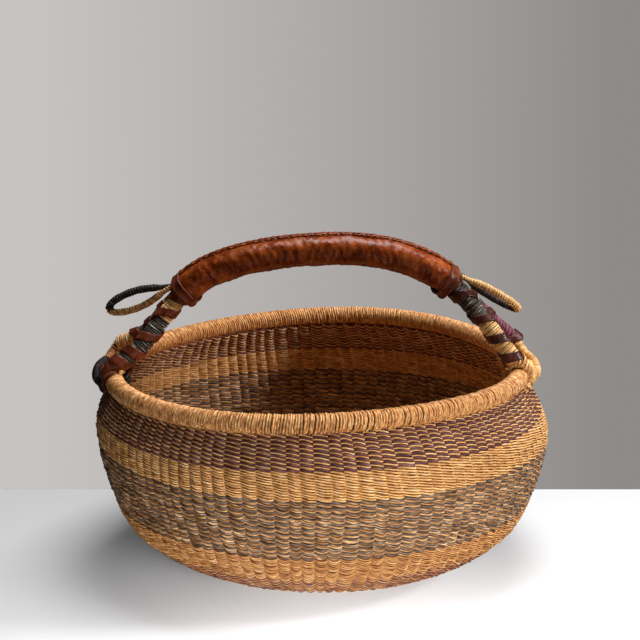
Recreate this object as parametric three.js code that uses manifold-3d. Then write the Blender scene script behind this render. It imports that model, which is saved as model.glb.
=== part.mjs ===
// A round, twined grass basket with a rolled rim and an arched handle of two strands, bound in leather.
// Millimetres, +Z up. The origin is on the floor, at the centre of the basket's flat base.
// +X runs to the right along the handle, and the front of the basket looks along -Y.

import * as THREE from 'three';
import { mergeVertices } from 'three/addons/utils/BufferGeometryUtils.js';
import Module from 'manifold-3d';

const wasm = await Module();
wasm.setup();

// Basket body: the outside of the woven wall
const bellyRadius = 213.7;
const baseRadius = 93.5;
const wallThickness = 6.8;
const skinThickness = 2;
const bandGap = 0.4;
const facetCount = 36;
const webEveryFacets = 12;
const firstWebFacet = 3;
const webHalfAngle = THREE.MathUtils.degToRad(0.8);

// Rim
const rimRadius = 191.5;
const rimHeight = 184.7;
const rimRollRadius = 9;
const rimWrapThickness = 2.8;
const rimSeatGap = 0.4;
const rimSlotGap = 0.8;
const rimWrapSides = 9;
const rimCoreSides = 6;

// How the hand-made basket settled out of true
const ovalShare = 0.006;
const rimShift = -6.5;
const rimRiseRight = 3.7;
const rimRiseBack = 0.3;
const rimBowSides = -2.4;
const rimBowCorners = 0.7;
const rimRippleSides = -1.5;
const rimRippleCorners = -0.1;
const rimWave = [
  { turns: 1, cosine: rimRiseRight, sine: rimRiseBack },
  { turns: 2, cosine: rimBowSides, sine: rimBowCorners },
  { turns: 3, cosine: rimRippleSides, sine: rimRippleCorners },
];

// Stakes: the upright straws inside the weave, two neighbouring straws to a stake
const stakeCount = 54;
const stakeWidth = 5;
const stakeThickness = 1.9;
const hubRadius = 62;

// Handle strands
const archRise = 113.5;
const archReach = 182;
const gripShare = 0.7;
const gripSpread = 8.6;
const mouthSpread = 10.6;
const footSpread = 37;
const legSplayPower = 1.15;
const strandHalfWidth = 8.2;
const strandHalfHeight = 12;
const legCoreRadius = 6.2;
const strandSides = 8;
const legSteps = 8;
const gripCoreSteps = 11;
const mouthEaseLength = 42;
const coreEaseLength = 14;
const coreEaseStart = 12;
const coreEaseSteps = 2;

// Straw and leather round each leg
const strawGap = 0.55;
const strawThickness = 1.6;
const mouthGap = 2.8;
const strawJoint = 0.4;
const naturalStrawShare = 0.36;
const strapGap = 0.5;
const strapThickness = 1.2;
const strapWidth = 11;
const strapSteps = 48;
const footBareLength = 9;

// Leather grip
const gripLeather = 1.8;
const gripClearance = 0.75;
const gripSides = 14;
const gripSteps = 15;
const collarWidth = 11;
const collarLeather = 1.4;
const collarSetback = 1.5;
const collarSteps = 2;
const leatherGap = 0.55;
const laceWidth = 3.2;
const laceThickness = 1.4;
const laceHalfSpan = 5.2;
const laceCrossings = 21;

// Cords that lash the legs to the rim
const nearLashingHalfThickness = 1.7;
const farLashingHalfThickness = 3;
const lashingHalfWidth = 5.4;
const lashingFootHalf = 5.4;
const lashingGap = 0.4;
const lashingExitSpread = 33.2;
const lashingSides = 8;
const lashingSteps = 15;
const footHeight = 16.6;
const lashingHang = 4.5;
const notchClearance = 1.4;
const notchDepth = 15;
const notchReach = 27;

// Small loops at the two ends of the grip
const loopCordRadius = 3.2;
const loopRootRadius = 2.4;
const loopRootSpread = 2.6;
const loopRise = 12.6;
const loopReach = 3;
const loopLength = 62;
const loopHalfHeight = 8.2;
const loopTwistShare = 0.26;
const leftLoopDroop = THREE.MathUtils.degToRad(20.5);
const rightLoopDroop = THREE.MathUtils.degToRad(30.5);
const rightLoopRoll = THREE.MathUtils.degToRad(121);
const loopSides = 8;
const loopSteps = 12;
const stubLength = 9;
const stubRise = 9.4;

const turn = 2 * Math.PI;
const mergeTolerance = 1e-4;
const searchSteps = 40;
const wallTop = rimHeight - rimRollRadius - rimSeatGap;
const strawRoughness = 0.85;
const leatherRoughness = 0.4;
const finish = (color, roughness) => new THREE.MeshStandardMaterial({ color, roughness, metalness: 0 });
const straw = (color) => finish(color, strawRoughness);
const leather = (color) => finish(color, leatherRoughness);

const basket = new THREE.Group();

// Adds one named piece to the basket.
function addPiece(name, geometry, material) {
  const piece = new THREE.Mesh(geometry, material);
  piece.name = name;
  basket.add(piece);
  return piece;
}

// Collects triangles; faces whose corners coincide are left out, so a surface may close on the axis.
class Faces {
  constructor() {
    this.positions = [];
  }

  triangle(a, b, c) {
    if (a.equals(b) || b.equals(c) || c.equals(a)) return;
    for (const p of [a, b, c]) this.positions.push(p.x, p.y, p.z);
  }

  quad(a, b, c, d) {
    this.triangle(a, b, c);
    this.triangle(a, c, d);
  }

  geometry() {
    const geometry = new THREE.BufferGeometry();
    geometry.setAttribute('position', new THREE.Float32BufferAttribute(this.positions, 3));
    geometry.computeVertexNormals();
    return geometry;
  }
}

// Joins rings of points into a closed solid: sides, and a flat cap at each end.
function loft(rings) {
  const faces = new Faces();
  const count = rings[0].length;
  const last = rings[rings.length - 1];
  for (let k = 0; k + 1 < rings.length; k += 1) {
    for (let i = 0; i < count; i += 1) {
      const next = (i + 1) % count;
      faces.quad(rings[k][i], rings[k][next], rings[k + 1][next], rings[k + 1][i]);
    }
  }
  for (let i = 1; i + 1 < count; i += 1) {
    faces.triangle(rings[0][0], rings[0][i + 1], rings[0][i]);
    faces.triangle(last[0], last[i], last[i + 1]);
  }
  return faces.geometry();
}

// Joins outer and inner rings into an open sleeve.
function sleeve(outer, inner) {
  const faces = new Faces();
  const count = outer[0].length;
  const end = outer.length - 1;
  for (let i = 0; i < count; i += 1) {
    const next = (i + 1) % count;
    for (let k = 0; k < end; k += 1) {
      faces.quad(outer[k][i], outer[k][next], outer[k + 1][next], outer[k + 1][i]);
      faces.quad(inner[k][i], inner[k + 1][i], inner[k + 1][next], inner[k][next]);
    }
    faces.quad(outer[0][i], inner[0][i], inner[0][next], outer[0][next]);
    faces.quad(outer[end][i], outer[end][next], inner[end][next], inner[end][i]);
  }
  return faces.geometry();
}

// A geometry as a solid for cutting and joining, and back.
function toSolid(geometry) {
  const loose = geometry.index ? geometry.toNonIndexed() : geometry;
  const bare = new THREE.BufferGeometry();
  bare.setAttribute('position', loose.getAttribute('position'));
  const merged = mergeVertices(bare, mergeTolerance);
  const vertProperties = new Float32Array(merged.attributes.position.array);
  const triVerts = new Uint32Array(merged.index.array);
  return new wasm.Manifold(new wasm.Mesh({ numProp: 3, vertProperties, triVerts }));
}

function fromSolid(solid) {
  const mesh = solid.getMesh();
  const geometry = new THREE.BufferGeometry();
  geometry.setAttribute('position', new THREE.BufferAttribute(mesh.vertProperties, 3));
  geometry.setIndex(new THREE.BufferAttribute(mesh.triVerts, 1));
  geometry.computeVertexNormals();
  return geometry;
}

// The rim's rise and fall round the basket.
function waveAt(azimuth) {
  return rimWave.reduce((sum, w) => (
    sum + w.cosine * Math.cos(w.turns * azimuth) + w.sine * Math.sin(w.turns * azimuth)), 0);
}

// Moves a point of the true, round basket to where it settled: oval, and with a shifted, wavy mouth.
function settle(point) {
  const azimuth = Math.atan2(point.y, point.x);
  const share = THREE.MathUtils.clamp((point.z - settleStart) / (wallTop - settleStart), 0, 1);
  return new THREE.Vector3(
    point.x * (1 + ovalShare) + rimShift * share,
    point.y * (1 - ovalShare),
    point.z + waveAt(azimuth) * share,
  );
}

// Outside of the wall from the base to the rim, as shares of the belly's radius and of the wall's height
const wallShares = {
  footCurve: [0.599, 0.046],
  footRise: [0.751, 0.12],
  footTop: [0.866, 0.23],
  lowerTop: [0.932, 0.376],
  greyMiddle: [0.981, 0.559],
  greyTop: [1, 0.707],
  upperTop: [0.982, 0.848],
  shoulder: [0.952, 0.929],
};
const fromShares = ([radius, height]) => new THREE.Vector2(radius * bellyRadius, height * wallTop);
const wallPoints = [
  new THREE.Vector2(0, 0),
  new THREE.Vector2(baseRadius, 0),
  ...Object.values(wallShares).map(fromShares),
  new THREE.Vector2(rimRadius + wallThickness / 2, wallTop),
];
const wallNames = ['centre', 'baseEdge', ...Object.keys(wallShares), 'top'];
const settleStart = wallShares.greyTop[1] * wallTop;

// For each wall point, the step outwards that moves both neighbouring runs by one unit.
const wallOutward = wallPoints.map((point, j) => {
  if (j === 0) return new THREE.Vector2(0, -1);
  if (j === wallPoints.length - 1) return new THREE.Vector2(1, 0);
  const before = point.clone().sub(wallPoints[j - 1]).normalize();
  const after = wallPoints[j + 1].clone().sub(point).normalize();
  const first = new THREE.Vector2(before.y, -before.x);
  const second = new THREE.Vector2(after.y, -after.x);
  return first.clone().add(second).divideScalar(1 + first.dot(second));
});

// The wall's point j at a depth below its outside.
function wallPointAt(j, depth) {
  return wallPoints[j].clone().addScaledVector(wallOutward[j], -depth);
}

// Azimuths of the facets' edges; a few narrow facets hold the webs that tie the two skins.
const facetEdges = [];
for (let i = 0; i < facetCount; i += 1) {
  const azimuth = (i * turn) / facetCount;
  if (i % webEveryFacets === firstWebFacet) {
    facetEdges.push({ azimuth: azimuth - webHalfAngle, web: true });
    facetEdges.push({ azimuth: azimuth + webHalfAngle, web: false });
  } else {
    facetEdges.push({ azimuth, web: false });
  }
}

const radial = (radius, height, azimuth) => (
  new THREE.Vector3(radius * Math.cos(azimuth), radius * Math.sin(azimuth), height));

// How far in a facet's straight edge lies at an azimuth, as a share of the radius.
function facetShare(azimuth) {
  const wrapped = ((azimuth % turn) + turn) % turn;
  let index = facetEdges.length - 1;
  while (index > 0 && facetEdges[index].azimuth > wrapped) index -= 1;
  const start = facetEdges[index].azimuth;
  const end = index + 1 < facetEdges.length ? facetEdges[index + 1].azimuth : turn;
  return Math.cos((end - start) / 2) / Math.cos(wrapped - (start + end) / 2);
}

// One colour band of the woven wall between two named wall points: an outer and an inner skin with a slot for
// the stakes between them, tied by webs from the point webName upwards.
function wovenBand(fromName, toName, webName = fromName) {
  const [from, to, webFrom] = [fromName, toName, webName].map((name) => wallNames.indexOf(name));
  const depths = [0, skinThickness, wallThickness - skinThickness, wallThickness];
  const layers = depths.map((depth) => {
    const points = [];
    for (let j = from; j <= to; j += 1) points.push(wallPointAt(j, depth));
    const startRun = points[1].clone().sub(points[0]).normalize();
    const end = points.length - 1;
    const endRun = points[end].clone().sub(points[end - 1]).normalize();
    if (from > 0) points[0].addScaledVector(startRun, bandGap / 2);
    if (to < wallPoints.length - 1) points[end].addScaledVector(endRun, -bandGap / 2);
    return points;
  });
  const faces = new Faces();
  const steps = to - from;
  const firstWebStep = webFrom - from;
  facetEdges.forEach((edge, i) => {
    const nextEdge = facetEdges[(i + 1) % facetEdges.length];
    const a = layers.map((points) => points.map((p) => settle(radial(p.x, p.y, edge.azimuth))));
    const b = layers.map((points) => points.map((p) => settle(radial(p.x, p.y, nextEdge.azimuth))));
    for (let j = 0; j < steps; j += 1) {
      const k = j + 1;
      faces.quad(a[0][j], b[0][j], b[0][k], a[0][k]);
      faces.quad(a[3][j], a[3][k], b[3][k], b[3][j]);
      if (edge.web && j >= firstWebStep) {
        faces.quad(a[1][j], a[1][k], a[2][k], a[2][j]);
        faces.quad(b[1][j], b[2][j], b[2][k], b[1][k]);
      } else {
        faces.quad(a[1][j], a[1][k], b[1][k], b[1][j]);
        faces.quad(a[2][j], b[2][j], b[2][k], a[2][k]);
      }
    }
    if (edge.web) faces.quad(a[1][firstWebStep], a[2][firstWebStep], b[2][firstWebStep], b[1][firstWebStep]);
    if (edge.web) faces.quad(a[1][steps], b[1][steps], b[2][steps], a[2][steps]);
    for (const skin of [0, 2]) {
      if (from > 0) faces.quad(a[skin][0], a[skin + 1][0], b[skin + 1][0], b[skin][0]);
      faces.quad(a[skin][steps], b[skin][steps], b[skin + 1][steps], a[skin + 1][steps]);
    }
  });
  return faces.geometry();
}

// Stakes: a hub in the base and the stakes that run out from it, up inside the wall and into the rim
function stakeFrame() {
  const middle = wallThickness / 2;
  const hub = new THREE.CylinderGeometry(hubRadius, hubRadius, stakeThickness, stakeCount);
  hub.rotateX(turn / 4);
  hub.translate(0, 0, middle);
  const route = [new THREE.Vector2(hubRadius - stakeWidth, middle)];
  for (let j = 1; j < wallPoints.length; j += 1) route.push(wallPointAt(j, middle));
  route.push(new THREE.Vector2(rimRadius, rimHeight - rimRollRadius + rimWrapThickness - rimSeatGap));
  const outward = [wallOutward[0], ...wallOutward.slice(1), new THREE.Vector2(1, 0)];
  const solids = [toSolid(hub)];
  for (let i = 0; i < stakeCount; i += 1) {
    const azimuth = (i * turn) / stakeCount;
    const share = facetShare(azimuth);
    const sideways = radial(stakeWidth / 2, 0, azimuth + turn / 4);
    const rings = route.map((point, j) => {
      const step = outward[j].clone().multiplyScalar(stakeThickness / 2);
      const back = radial((point.x - step.x) * share, point.y - step.y, azimuth);
      const face = radial((point.x + step.x) * share, point.y + step.y, azimuth);
      return [back.clone().sub(sideways), back.clone().add(sideways), face].map(settle).reverse();
    });
    solids.push(toSolid(loft(rings)));
  }
  return fromSolid(wasm.Manifold.union(solids));
}

// A ring that follows the rim, from a closed profile given from the rim's centreline, outwards and up.
function rimRing(profile) {
  const faces = new Faces();
  facetEdges.forEach((edge, i) => {
    const nextEdge = facetEdges[(i + 1) % facetEdges.length];
    const [a, b] = [edge, nextEdge].map(({ azimuth }) => (
      profile.map((p) => settle(radial(rimRadius + p.x, rimHeight + p.y, azimuth)))));
    profile.forEach((_, k) => {
      const next = (k + 1) % profile.length;
      faces.quad(a[k], b[k], b[next], a[next]);
    });
  });
  return faces.geometry();
}

// Points of an arc round the rim's centreline, from one angle to another.
function arcPoints(radius, start, end, count) {
  return Array.from({ length: count }, (_, k) => {
    const angle = THREE.MathUtils.lerp(start, end, k / (count - 1));
    return new THREE.Vector2(radius * Math.cos(angle), radius * Math.sin(angle));
  });
}

const rimInnerRadius = rimRollRadius - rimWrapThickness;
const rimSlotHalf = stakeThickness / 2 + rimSlotGap;

// Points round the rim roll that leave its slot open below.
function slottedArc(radius, slotRadius, count) {
  const slot = Math.asin(rimSlotHalf / slotRadius);
  return arcPoints(radius, -turn / 4 + slot, (turn * 3) / 4 - slot, count);
}

function rimCore() {
  return rimRing(slottedArc(rimInnerRadius - rimSeatGap, rimInnerRadius, rimCoreSides));
}

// The overcast straw round the rim, open below where the stakes come in
function rimWrap() {
  const outer = slottedArc(rimRollRadius, rimRollRadius, rimWrapSides);
  const inner = slottedArc(rimInnerRadius, rimInnerRadius, rimCoreSides);
  return rimRing([...outer, ...inner.reverse()]);
}

// Where the rim's centreline runs at an azimuth, with the directions outwards and along the rim.
function rimPoint(azimuth) {
  return {
    centre: settle(radial(rimRadius, rimHeight, azimuth)),
    outward: radial(1, 0, azimuth),
    along: radial(1, 0, azimuth + turn / 4),
  };
}

// A point round the rim: side is 1 at the right and -1 at the left, spread its distance along the rim from
// the handle's plane, angle its angle round the rim from straight outwards, and distance how far from the
// rim's centreline.
function roundRim(side, spread, angle, distance) {
  const offset = spread / rimRadius;
  const rim = rimPoint(side > 0 ? offset : turn / 2 - offset);
  const out = rim.outward.clone().multiplyScalar(Math.cos(angle));
  const away = out.add(new THREE.Vector3(0, 0, Math.sin(angle)));
  return { point: rim.centre.clone().addScaledVector(away, distance), away };
}

// Handle: the arch that both strands follow, from the left foot to the right one
const footAngles = { near: THREE.MathUtils.degToRad(106), far: THREE.MathUtils.degToRad(82) };
const archShares = [
  [-0.9, 0.24], [-0.8, 0.43], [-0.71, 0.605], [-0.6, 0.765], [-0.45, 0.875], [-0.25, 0.953], [-0.05, 0.99],
  [0.12, 1], [0.28, 0.985], [0.43, 0.935], [0.58, 0.84], [0.7, 0.7], [0.8, 0.55], [0.9, 0.37],
];

// The strand's distance from the handle's plane: close together in the grip, apart at the feet.
function spreadAt(reachShare) {
  const outside = THREE.MathUtils.clamp((Math.abs(reachShare) - gripShare) / (1 - gripShare), 0, 1);
  const ease = mouthEaseLength / archReach;
  const inside = THREE.MathUtils.clamp((Math.abs(reachShare) - gripShare + ease) / ease, 0, 1);
  const easedInside = inside * inside * (3 - 2 * inside);
  const splay = outside ** legSplayPower;
  return gripSpread + (mouthSpread - gripSpread) * easedInside + (footSpread - mouthSpread) * splay;
}

// The curve of one strand: depth is -1 for the near one, 1 for the far one, and 0 for the plane between them.
function strandCurve(depth) {
  const footAngle = depth > 0 ? footAngles.far : footAngles.near;
  const feet = [-1, 1].map((side) => roundRim(side, depth * footSpread, footAngle, footHeight).point);
  const rise = archShares.map(([reach, height]) => new THREE.Vector3(
    rimShift + reach * archReach,
    depth * spreadAt(reach),
    rimHeight + height * archRise,
  ));
  return new THREE.CatmullRomCurve3([feet[0], ...rise, feet[1]], false, 'centripetal');
}

// The share of a curve's length at which it passes an x.
function lengthShareAt(curve, x) {
  let low = 0;
  let high = 1;
  for (let step = 0; step < searchSteps; step += 1) {
    const middle = (low + high) / 2;
    if (curve.getPointAt(middle).x < x) low = middle;
    else high = middle;
  }
  return (low + high) / 2;
}

// The frame of a curve that runs in or near the handle's plane: along it, sideways and up.
function frameAt(curve, share) {
  const along = curve.getTangentAt(share);
  const up = along.clone().cross(new THREE.Vector3(0, 1, 0)).normalize();
  const sideways = up.clone().cross(along).normalize();
  return { centre: curve.getPointAt(share), along, up, sideways };
}

// An oval ring of points round a frame.
function ovalRing(frame, halfWidth, halfHeight, sides) {
  return Array.from({ length: sides }, (_, i) => {
    const angle = (i * turn) / sides;
    return frame.centre.clone()
      .addScaledVector(frame.up, halfHeight * Math.cos(angle))
      .addScaledVector(frame.sideways, -halfWidth * Math.sin(angle));
  });
}

const strands = { near: strandCurve(-1), far: strandCurve(1) };
const middleCurve = strandCurve(0);
const leftMouthX = rimShift - gripShare * archReach;
const rightMouthX = rimShift + gripShare * archReach;

// How far along the grip a point lies from the nearer mouth, in millimetres; it is negative outside the grip.
function depthInGrip(curve, share) {
  const length = curve.getLength();
  const left = (share - lengthShareAt(curve, leftMouthX)) * length;
  const right = (lengthShareAt(curve, rightMouthX) - share) * length;
  return Math.min(left, right);
}

// The strand's half width and half height: a round core in the legs, a taller oval in the grip.
function strandSection(depth) {
  const share = THREE.MathUtils.clamp((depth - coreEaseStart) / coreEaseLength, 0, 1);
  const eased = share * share * (3 - 2 * share);
  return {
    halfWidth: THREE.MathUtils.lerp(legCoreRadius, strandHalfWidth, eased),
    halfHeight: THREE.MathUtils.lerp(legCoreRadius, strandHalfHeight, eased),
  };
}

function strandCore(curve) {
  const leftMouth = lengthShareAt(curve, leftMouthX);
  const rightMouth = lengthShareAt(curve, rightMouthX);
  const ease = (coreEaseStart + coreEaseLength) / curve.getLength();
  const start = coreEaseStart / curve.getLength();
  const shares = [];
  const addRun = (from, to, count) => {
    for (let k = 0; k < count; k += 1) shares.push(THREE.MathUtils.lerp(from, to, k / count));
  };
  addRun(0, leftMouth + start, legSteps);
  addRun(leftMouth + start, leftMouth + ease, coreEaseSteps);
  addRun(leftMouth + ease, rightMouth - ease, gripCoreSteps);
  addRun(rightMouth - ease, rightMouth - start, coreEaseSteps);
  addRun(rightMouth - start, 1, legSteps);
  shares.push(1);
  return loft(shares.map((share) => {
    const section = strandSection(depthInGrip(curve, share));
    return ovalRing(frameAt(curve, share), section.halfWidth, section.halfHeight, strandSides);
  }));
}

// A leg's run from the grip's mouth to its foot, as shares of the strand's length.
function legRun(curve, side) {
  const length = curve.getLength();
  const mouth = lengthShareAt(curve, side > 0 ? rightMouthX : leftMouthX) + (side * mouthGap) / length;
  const foot = (side > 0 ? 1 : 0) - (side * footBareLength) / length;
  return { mouth, foot, length, legLength: Math.abs(foot - mouth) * length };
}

// A straw sleeve on a leg between two shares of the leg.
function strawSleeve(curve, side, from, to) {
  const run = legRun(curve, side);
  const innerRadius = legCoreRadius + strawGap;
  const steps = Math.round(legSteps * (to - from));
  const outer = [];
  const inner = [];
  for (let k = 0; k <= steps; k += 1) {
    const along = THREE.MathUtils.lerp(from, to, k / steps);
    const frame = frameAt(curve, THREE.MathUtils.lerp(run.mouth, run.foot, along));
    outer.push(ovalRing(frame, innerRadius + strawThickness, innerRadius + strawThickness, strandSides));
    inner.push(ovalRing(frame, innerRadius, innerRadius, strandSides));
  }
  if (side < 0) {
    outer.reverse();
    inner.reverse();
  }
  return sleeve(outer, inner);
}

// Where each leg's strap passes the leg's near side, as shares of the leg's length from the mouth
const strapCrossingShares = {
  left: { near: [0.224, 0.619, 0.887], far: [0.2, 0.5, 0.8] },
  right: { near: [0.1, 0.5, 0.796], far: [0.2, 0.52, 0.82] },
};

// How many turns a strap has made at a share of the leg, counted from where it first passes the near side.
function strapTurnsAt(share, crossings) {
  let k = 0;
  while (k + 2 < crossings.length && share > crossings[k + 1]) k += 1;
  return k + (share - crossings[k]) / (crossings[k + 1] - crossings[k]);
}

// The leather strap that winds down a leg over the straw, as one unbroken strip.
function legStrap(curve, side, crossings) {
  const run = legRun(curve, side);
  const margin = (strapWidth / 2 + strawJoint) / run.legLength;
  const innerRadius = legCoreRadius + strawGap + strawThickness + strapGap;
  const rings = [];
  for (let k = 0; k <= strapSteps; k += 1) {
    const along = THREE.MathUtils.lerp(margin, 1 - margin, k / strapSteps);
    const frame = frameAt(curve, THREE.MathUtils.lerp(run.mouth, run.foot, along));
    const angle = strapTurnsAt(along, crossings) * turn - turn / 4;
    const out = frame.up.clone().multiplyScalar(Math.cos(angle))
      .addScaledVector(frame.sideways, Math.sin(angle));
    const corner = (end, radius) => frame.centre.clone()
      .addScaledVector(frame.along, (end * side * strapWidth) / 2)
      .addScaledVector(out, radius);
    const outer = innerRadius + strapThickness;
    rings.push([corner(-1, innerRadius), corner(1, innerRadius), corner(1, outer), corner(-1, outer)]);
  }
  if (side > 0) rings.forEach((ring) => ring.reverse());
  return loft(rings);
}

// A ring round both strands of the grip: two half ovals joined by straight runs above and below.
function gripRing(share, clearance) {
  const frame = frameAt(middleCurve, share);
  const spread = spreadAt((frame.centre.x - rimShift) / archReach);
  const halfWidth = strandHalfWidth + clearance;
  const halfHeight = strandHalfHeight + clearance;
  const half = gripSides / 2;
  const ring = [];
  for (const end of [1, -1]) {
    for (let i = 0; i < half; i += 1) {
      const angle = THREE.MathUtils.lerp(0, turn / 2, i / (half - 1));
      ring.push(frame.centre.clone()
        .addScaledVector(frame.up, end * halfHeight * Math.cos(angle))
        .addScaledVector(frame.sideways, -end * (spread + halfWidth * Math.sin(angle))));
    }
  }
  return ring;
}

// A leather sleeve round the grip between two shares of the middle curve.
function gripSleeve(from, to, steps, clearance, thickness) {
  const shares = Array.from({ length: steps + 1 }, (_, k) => THREE.MathUtils.lerp(from, to, k / steps));
  const outer = shares.map((share) => gripRing(share, clearance + thickness));
  const inner = shares.map((share) => gripRing(share, clearance));
  return sleeve(outer, inner);
}

const mouths = {
  left: lengthShareAt(middleCurve, leftMouthX),
  right: lengthShareAt(middleCurve, rightMouthX),
};
const middleLength = middleCurve.getLength();

function collar(side) {
  const mouth = side > 0 ? mouths.right : mouths.left;
  const setbacks = [collarSetback, collarSetback + collarWidth];
  const ends = setbacks.map((back) => mouth - (side * back) / middleLength);
  const clearance = gripClearance + gripLeather + leatherGap;
  return gripSleeve(Math.min(...ends), Math.max(...ends), collarSteps, clearance, collarLeather);
}

// The lace that zigzags over the seam on top of the grip, between the collars
function seamLace() {
  const inset = (collarSetback + collarWidth + laceWidth) / middleLength;
  const height = strandHalfHeight + gripClearance + gripLeather + leatherGap + laceThickness / 2;
  const corners = Array.from({ length: laceCrossings + 1 }, (_, k) => {
    const share = THREE.MathUtils.lerp(mouths.left + inset, mouths.right - inset, k / laceCrossings);
    const frame = frameAt(middleCurve, share);
    const side = k % 2 === 0 ? laceHalfSpan : -laceHalfSpan;
    const top = frame.centre.clone().addScaledVector(frame.up, height);
    return { frame, point: top.addScaledVector(frame.sideways, side) };
  });
  const leg = corners[0].point.distanceTo(corners[1].point);
  const step = Math.sqrt(leg ** 2 - (2 * laceHalfSpan) ** 2);
  const halfMitre = (laceWidth / 2) * (leg / step);
  return loft(corners.map(({ frame, point }) => {
    const offset = (sideShare, upShare) => point.clone()
      .addScaledVector(frame.sideways, sideShare * halfMitre)
      .addScaledVector(frame.up, (upShare * laceThickness) / 2);
    return [offset(1, 1), offset(-1, 1), offset(-1, -1), offset(1, -1)];
  }));
}

// How far round the rim a lashing starts from its foot, and the angles from straight outwards at which it
// lies on the rim, starts to cross, has crossed and ends
const lashingAngles = {
  step: THREE.MathUtils.degToRad(24),
  settled: THREE.MathUtils.degToRad(36),
  crossing: THREE.MathUtils.degToRad(56),
  crossed: THREE.MathUtils.degToRad(-54),
  last: THREE.MathUtils.degToRad(-205),
};
const crossRise = 1.85;
const crossGap = 1.4;
const crossReach = 35;

// The end face of a strand's foot, moved on by a small gap and looking the way the cord runs on.
function strandFoot(side, depth) {
  const curve = depth < 0 ? strands.near : strands.far;
  const { centre, along, up } = frameAt(curve, side > 0 ? 1 : 0);
  const onward = along.clone().multiplyScalar(side);
  return { centre: centre.addScaledVector(onward, lashingGap), up, sideways: up.clone().cross(onward) };
}

// A cord that runs on from a leg's foot, over the rim, down outside to the other leg's side, and back in
// under the rim. The upper cord crosses over the lower one outside the rim.
function lashing(side, depth, crossesOver) {
  const ownHalfThickness = depth < 0 ? nearLashingHalfThickness : farLashingHalfThickness;
  const layer = rimRollRadius + lashingGap + ownHalfThickness;
  const start = strandFoot(side, depth);
  const footAngle = depth > 0 ? footAngles.far : footAngles.near;
  const route = [];
  for (let k = 0; k <= lashingSteps; k += 1) {
    const angle = THREE.MathUtils.lerp(footAngle - lashingAngles.step, lashingAngles.last, k / lashingSteps);
    const cross = THREE.MathUtils.smoothstep(angle, lashingAngles.crossed, lashingAngles.crossing);
    const spread = THREE.MathUtils.lerp(-depth * lashingExitSpread, depth * footSpread, cross);
    const leave = THREE.MathUtils.smoothstep(angle, lashingAngles.settled, footAngle);
    const meeting = THREE.MathUtils.clamp(crossRise * (1 - Math.abs(spread) / crossReach), 0, 1);
    const over = crossesOver ? meeting * (2 * nearLashingHalfThickness + crossGap) : 0;
    const hang = lashingHang * Math.max(0, -Math.sin(angle));
    const distance = THREE.MathUtils.lerp(layer + over + hang, footHeight, leave);
    const halfThickness = THREE.MathUtils.lerp(ownHalfThickness, lashingFootHalf, leave);
    const halfWidth = THREE.MathUtils.lerp(lashingHalfWidth, lashingFootHalf, leave);
    route.push({ ...roundRim(side, spread, angle, distance), halfThickness, halfWidth });
  }
  const rings = [ovalRing(start, lashingFootHalf, lashingFootHalf, lashingSides)];
  route.forEach((here, k) => {
    const before = k > 0 ? route[k - 1].point : start.centre;
    const after = route[Math.min(k + 1, route.length - 1)].point;
    const along = after.clone().sub(before).normalize();
    const up = here.away.clone().addScaledVector(along, -here.away.dot(along)).normalize();
    const frame = { centre: here.point, up, sideways: up.clone().cross(along) };
    rings.push(ovalRing(frame, here.halfWidth, here.halfThickness, lashingSides));
  });
  return loft(rings);
}

// Notches in the wall's top edge where the lashings pass under the rim
function notchedBand(geometry) {
  const width = 2 * (lashingHalfWidth + notchClearance);
  let solid = toSolid(geometry);
  for (const side of [-1, 1]) {
    for (const spread of [-lashingExitSpread, lashingExitSpread]) {
      const offset = spread / rimRadius;
      const azimuth = side > 0 ? offset : turn / 2 - offset;
      const cutter = new THREE.BoxGeometry(notchReach, width, 2 * notchDepth);
      cutter.rotateZ(azimuth);
      const top = settle(radial(rimRadius, wallTop, azimuth));
      cutter.translate(top.x, top.y, top.z);
      solid = solid.subtract(toSolid(cutter));
    }
  }
  return fromSolid(solid);
}

// Small loops: two half loops of cord each, from a root at the grip's mouth, with a fixed stub in the mouth
function loopFrame(side) {
  const frame = frameAt(middleCurve, side > 0 ? mouths.right : mouths.left);
  const away = frame.along.clone().multiplyScalar(side);
  const pivot = frame.centre.clone().addScaledVector(frame.up, loopRise).addScaledVector(away, loopReach);
  return { frame, away, pivot };
}

// Shares of a quarter turn at which a root's ball has its rings, shares of a cord over which it swells to its
// full radius, and half the gap between a loop's two cords along its length, as shares of its half height
const rootBallShares = [0.25, 0.57, 1];
const swellShares = [0.1, 0.4];
const loopShares = [[0.12, 0.38], [0.26, 0.62], [0.42, 0.9], [0.6, 1], [0.8, 0.86], [0.94, 0.5]];

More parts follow.
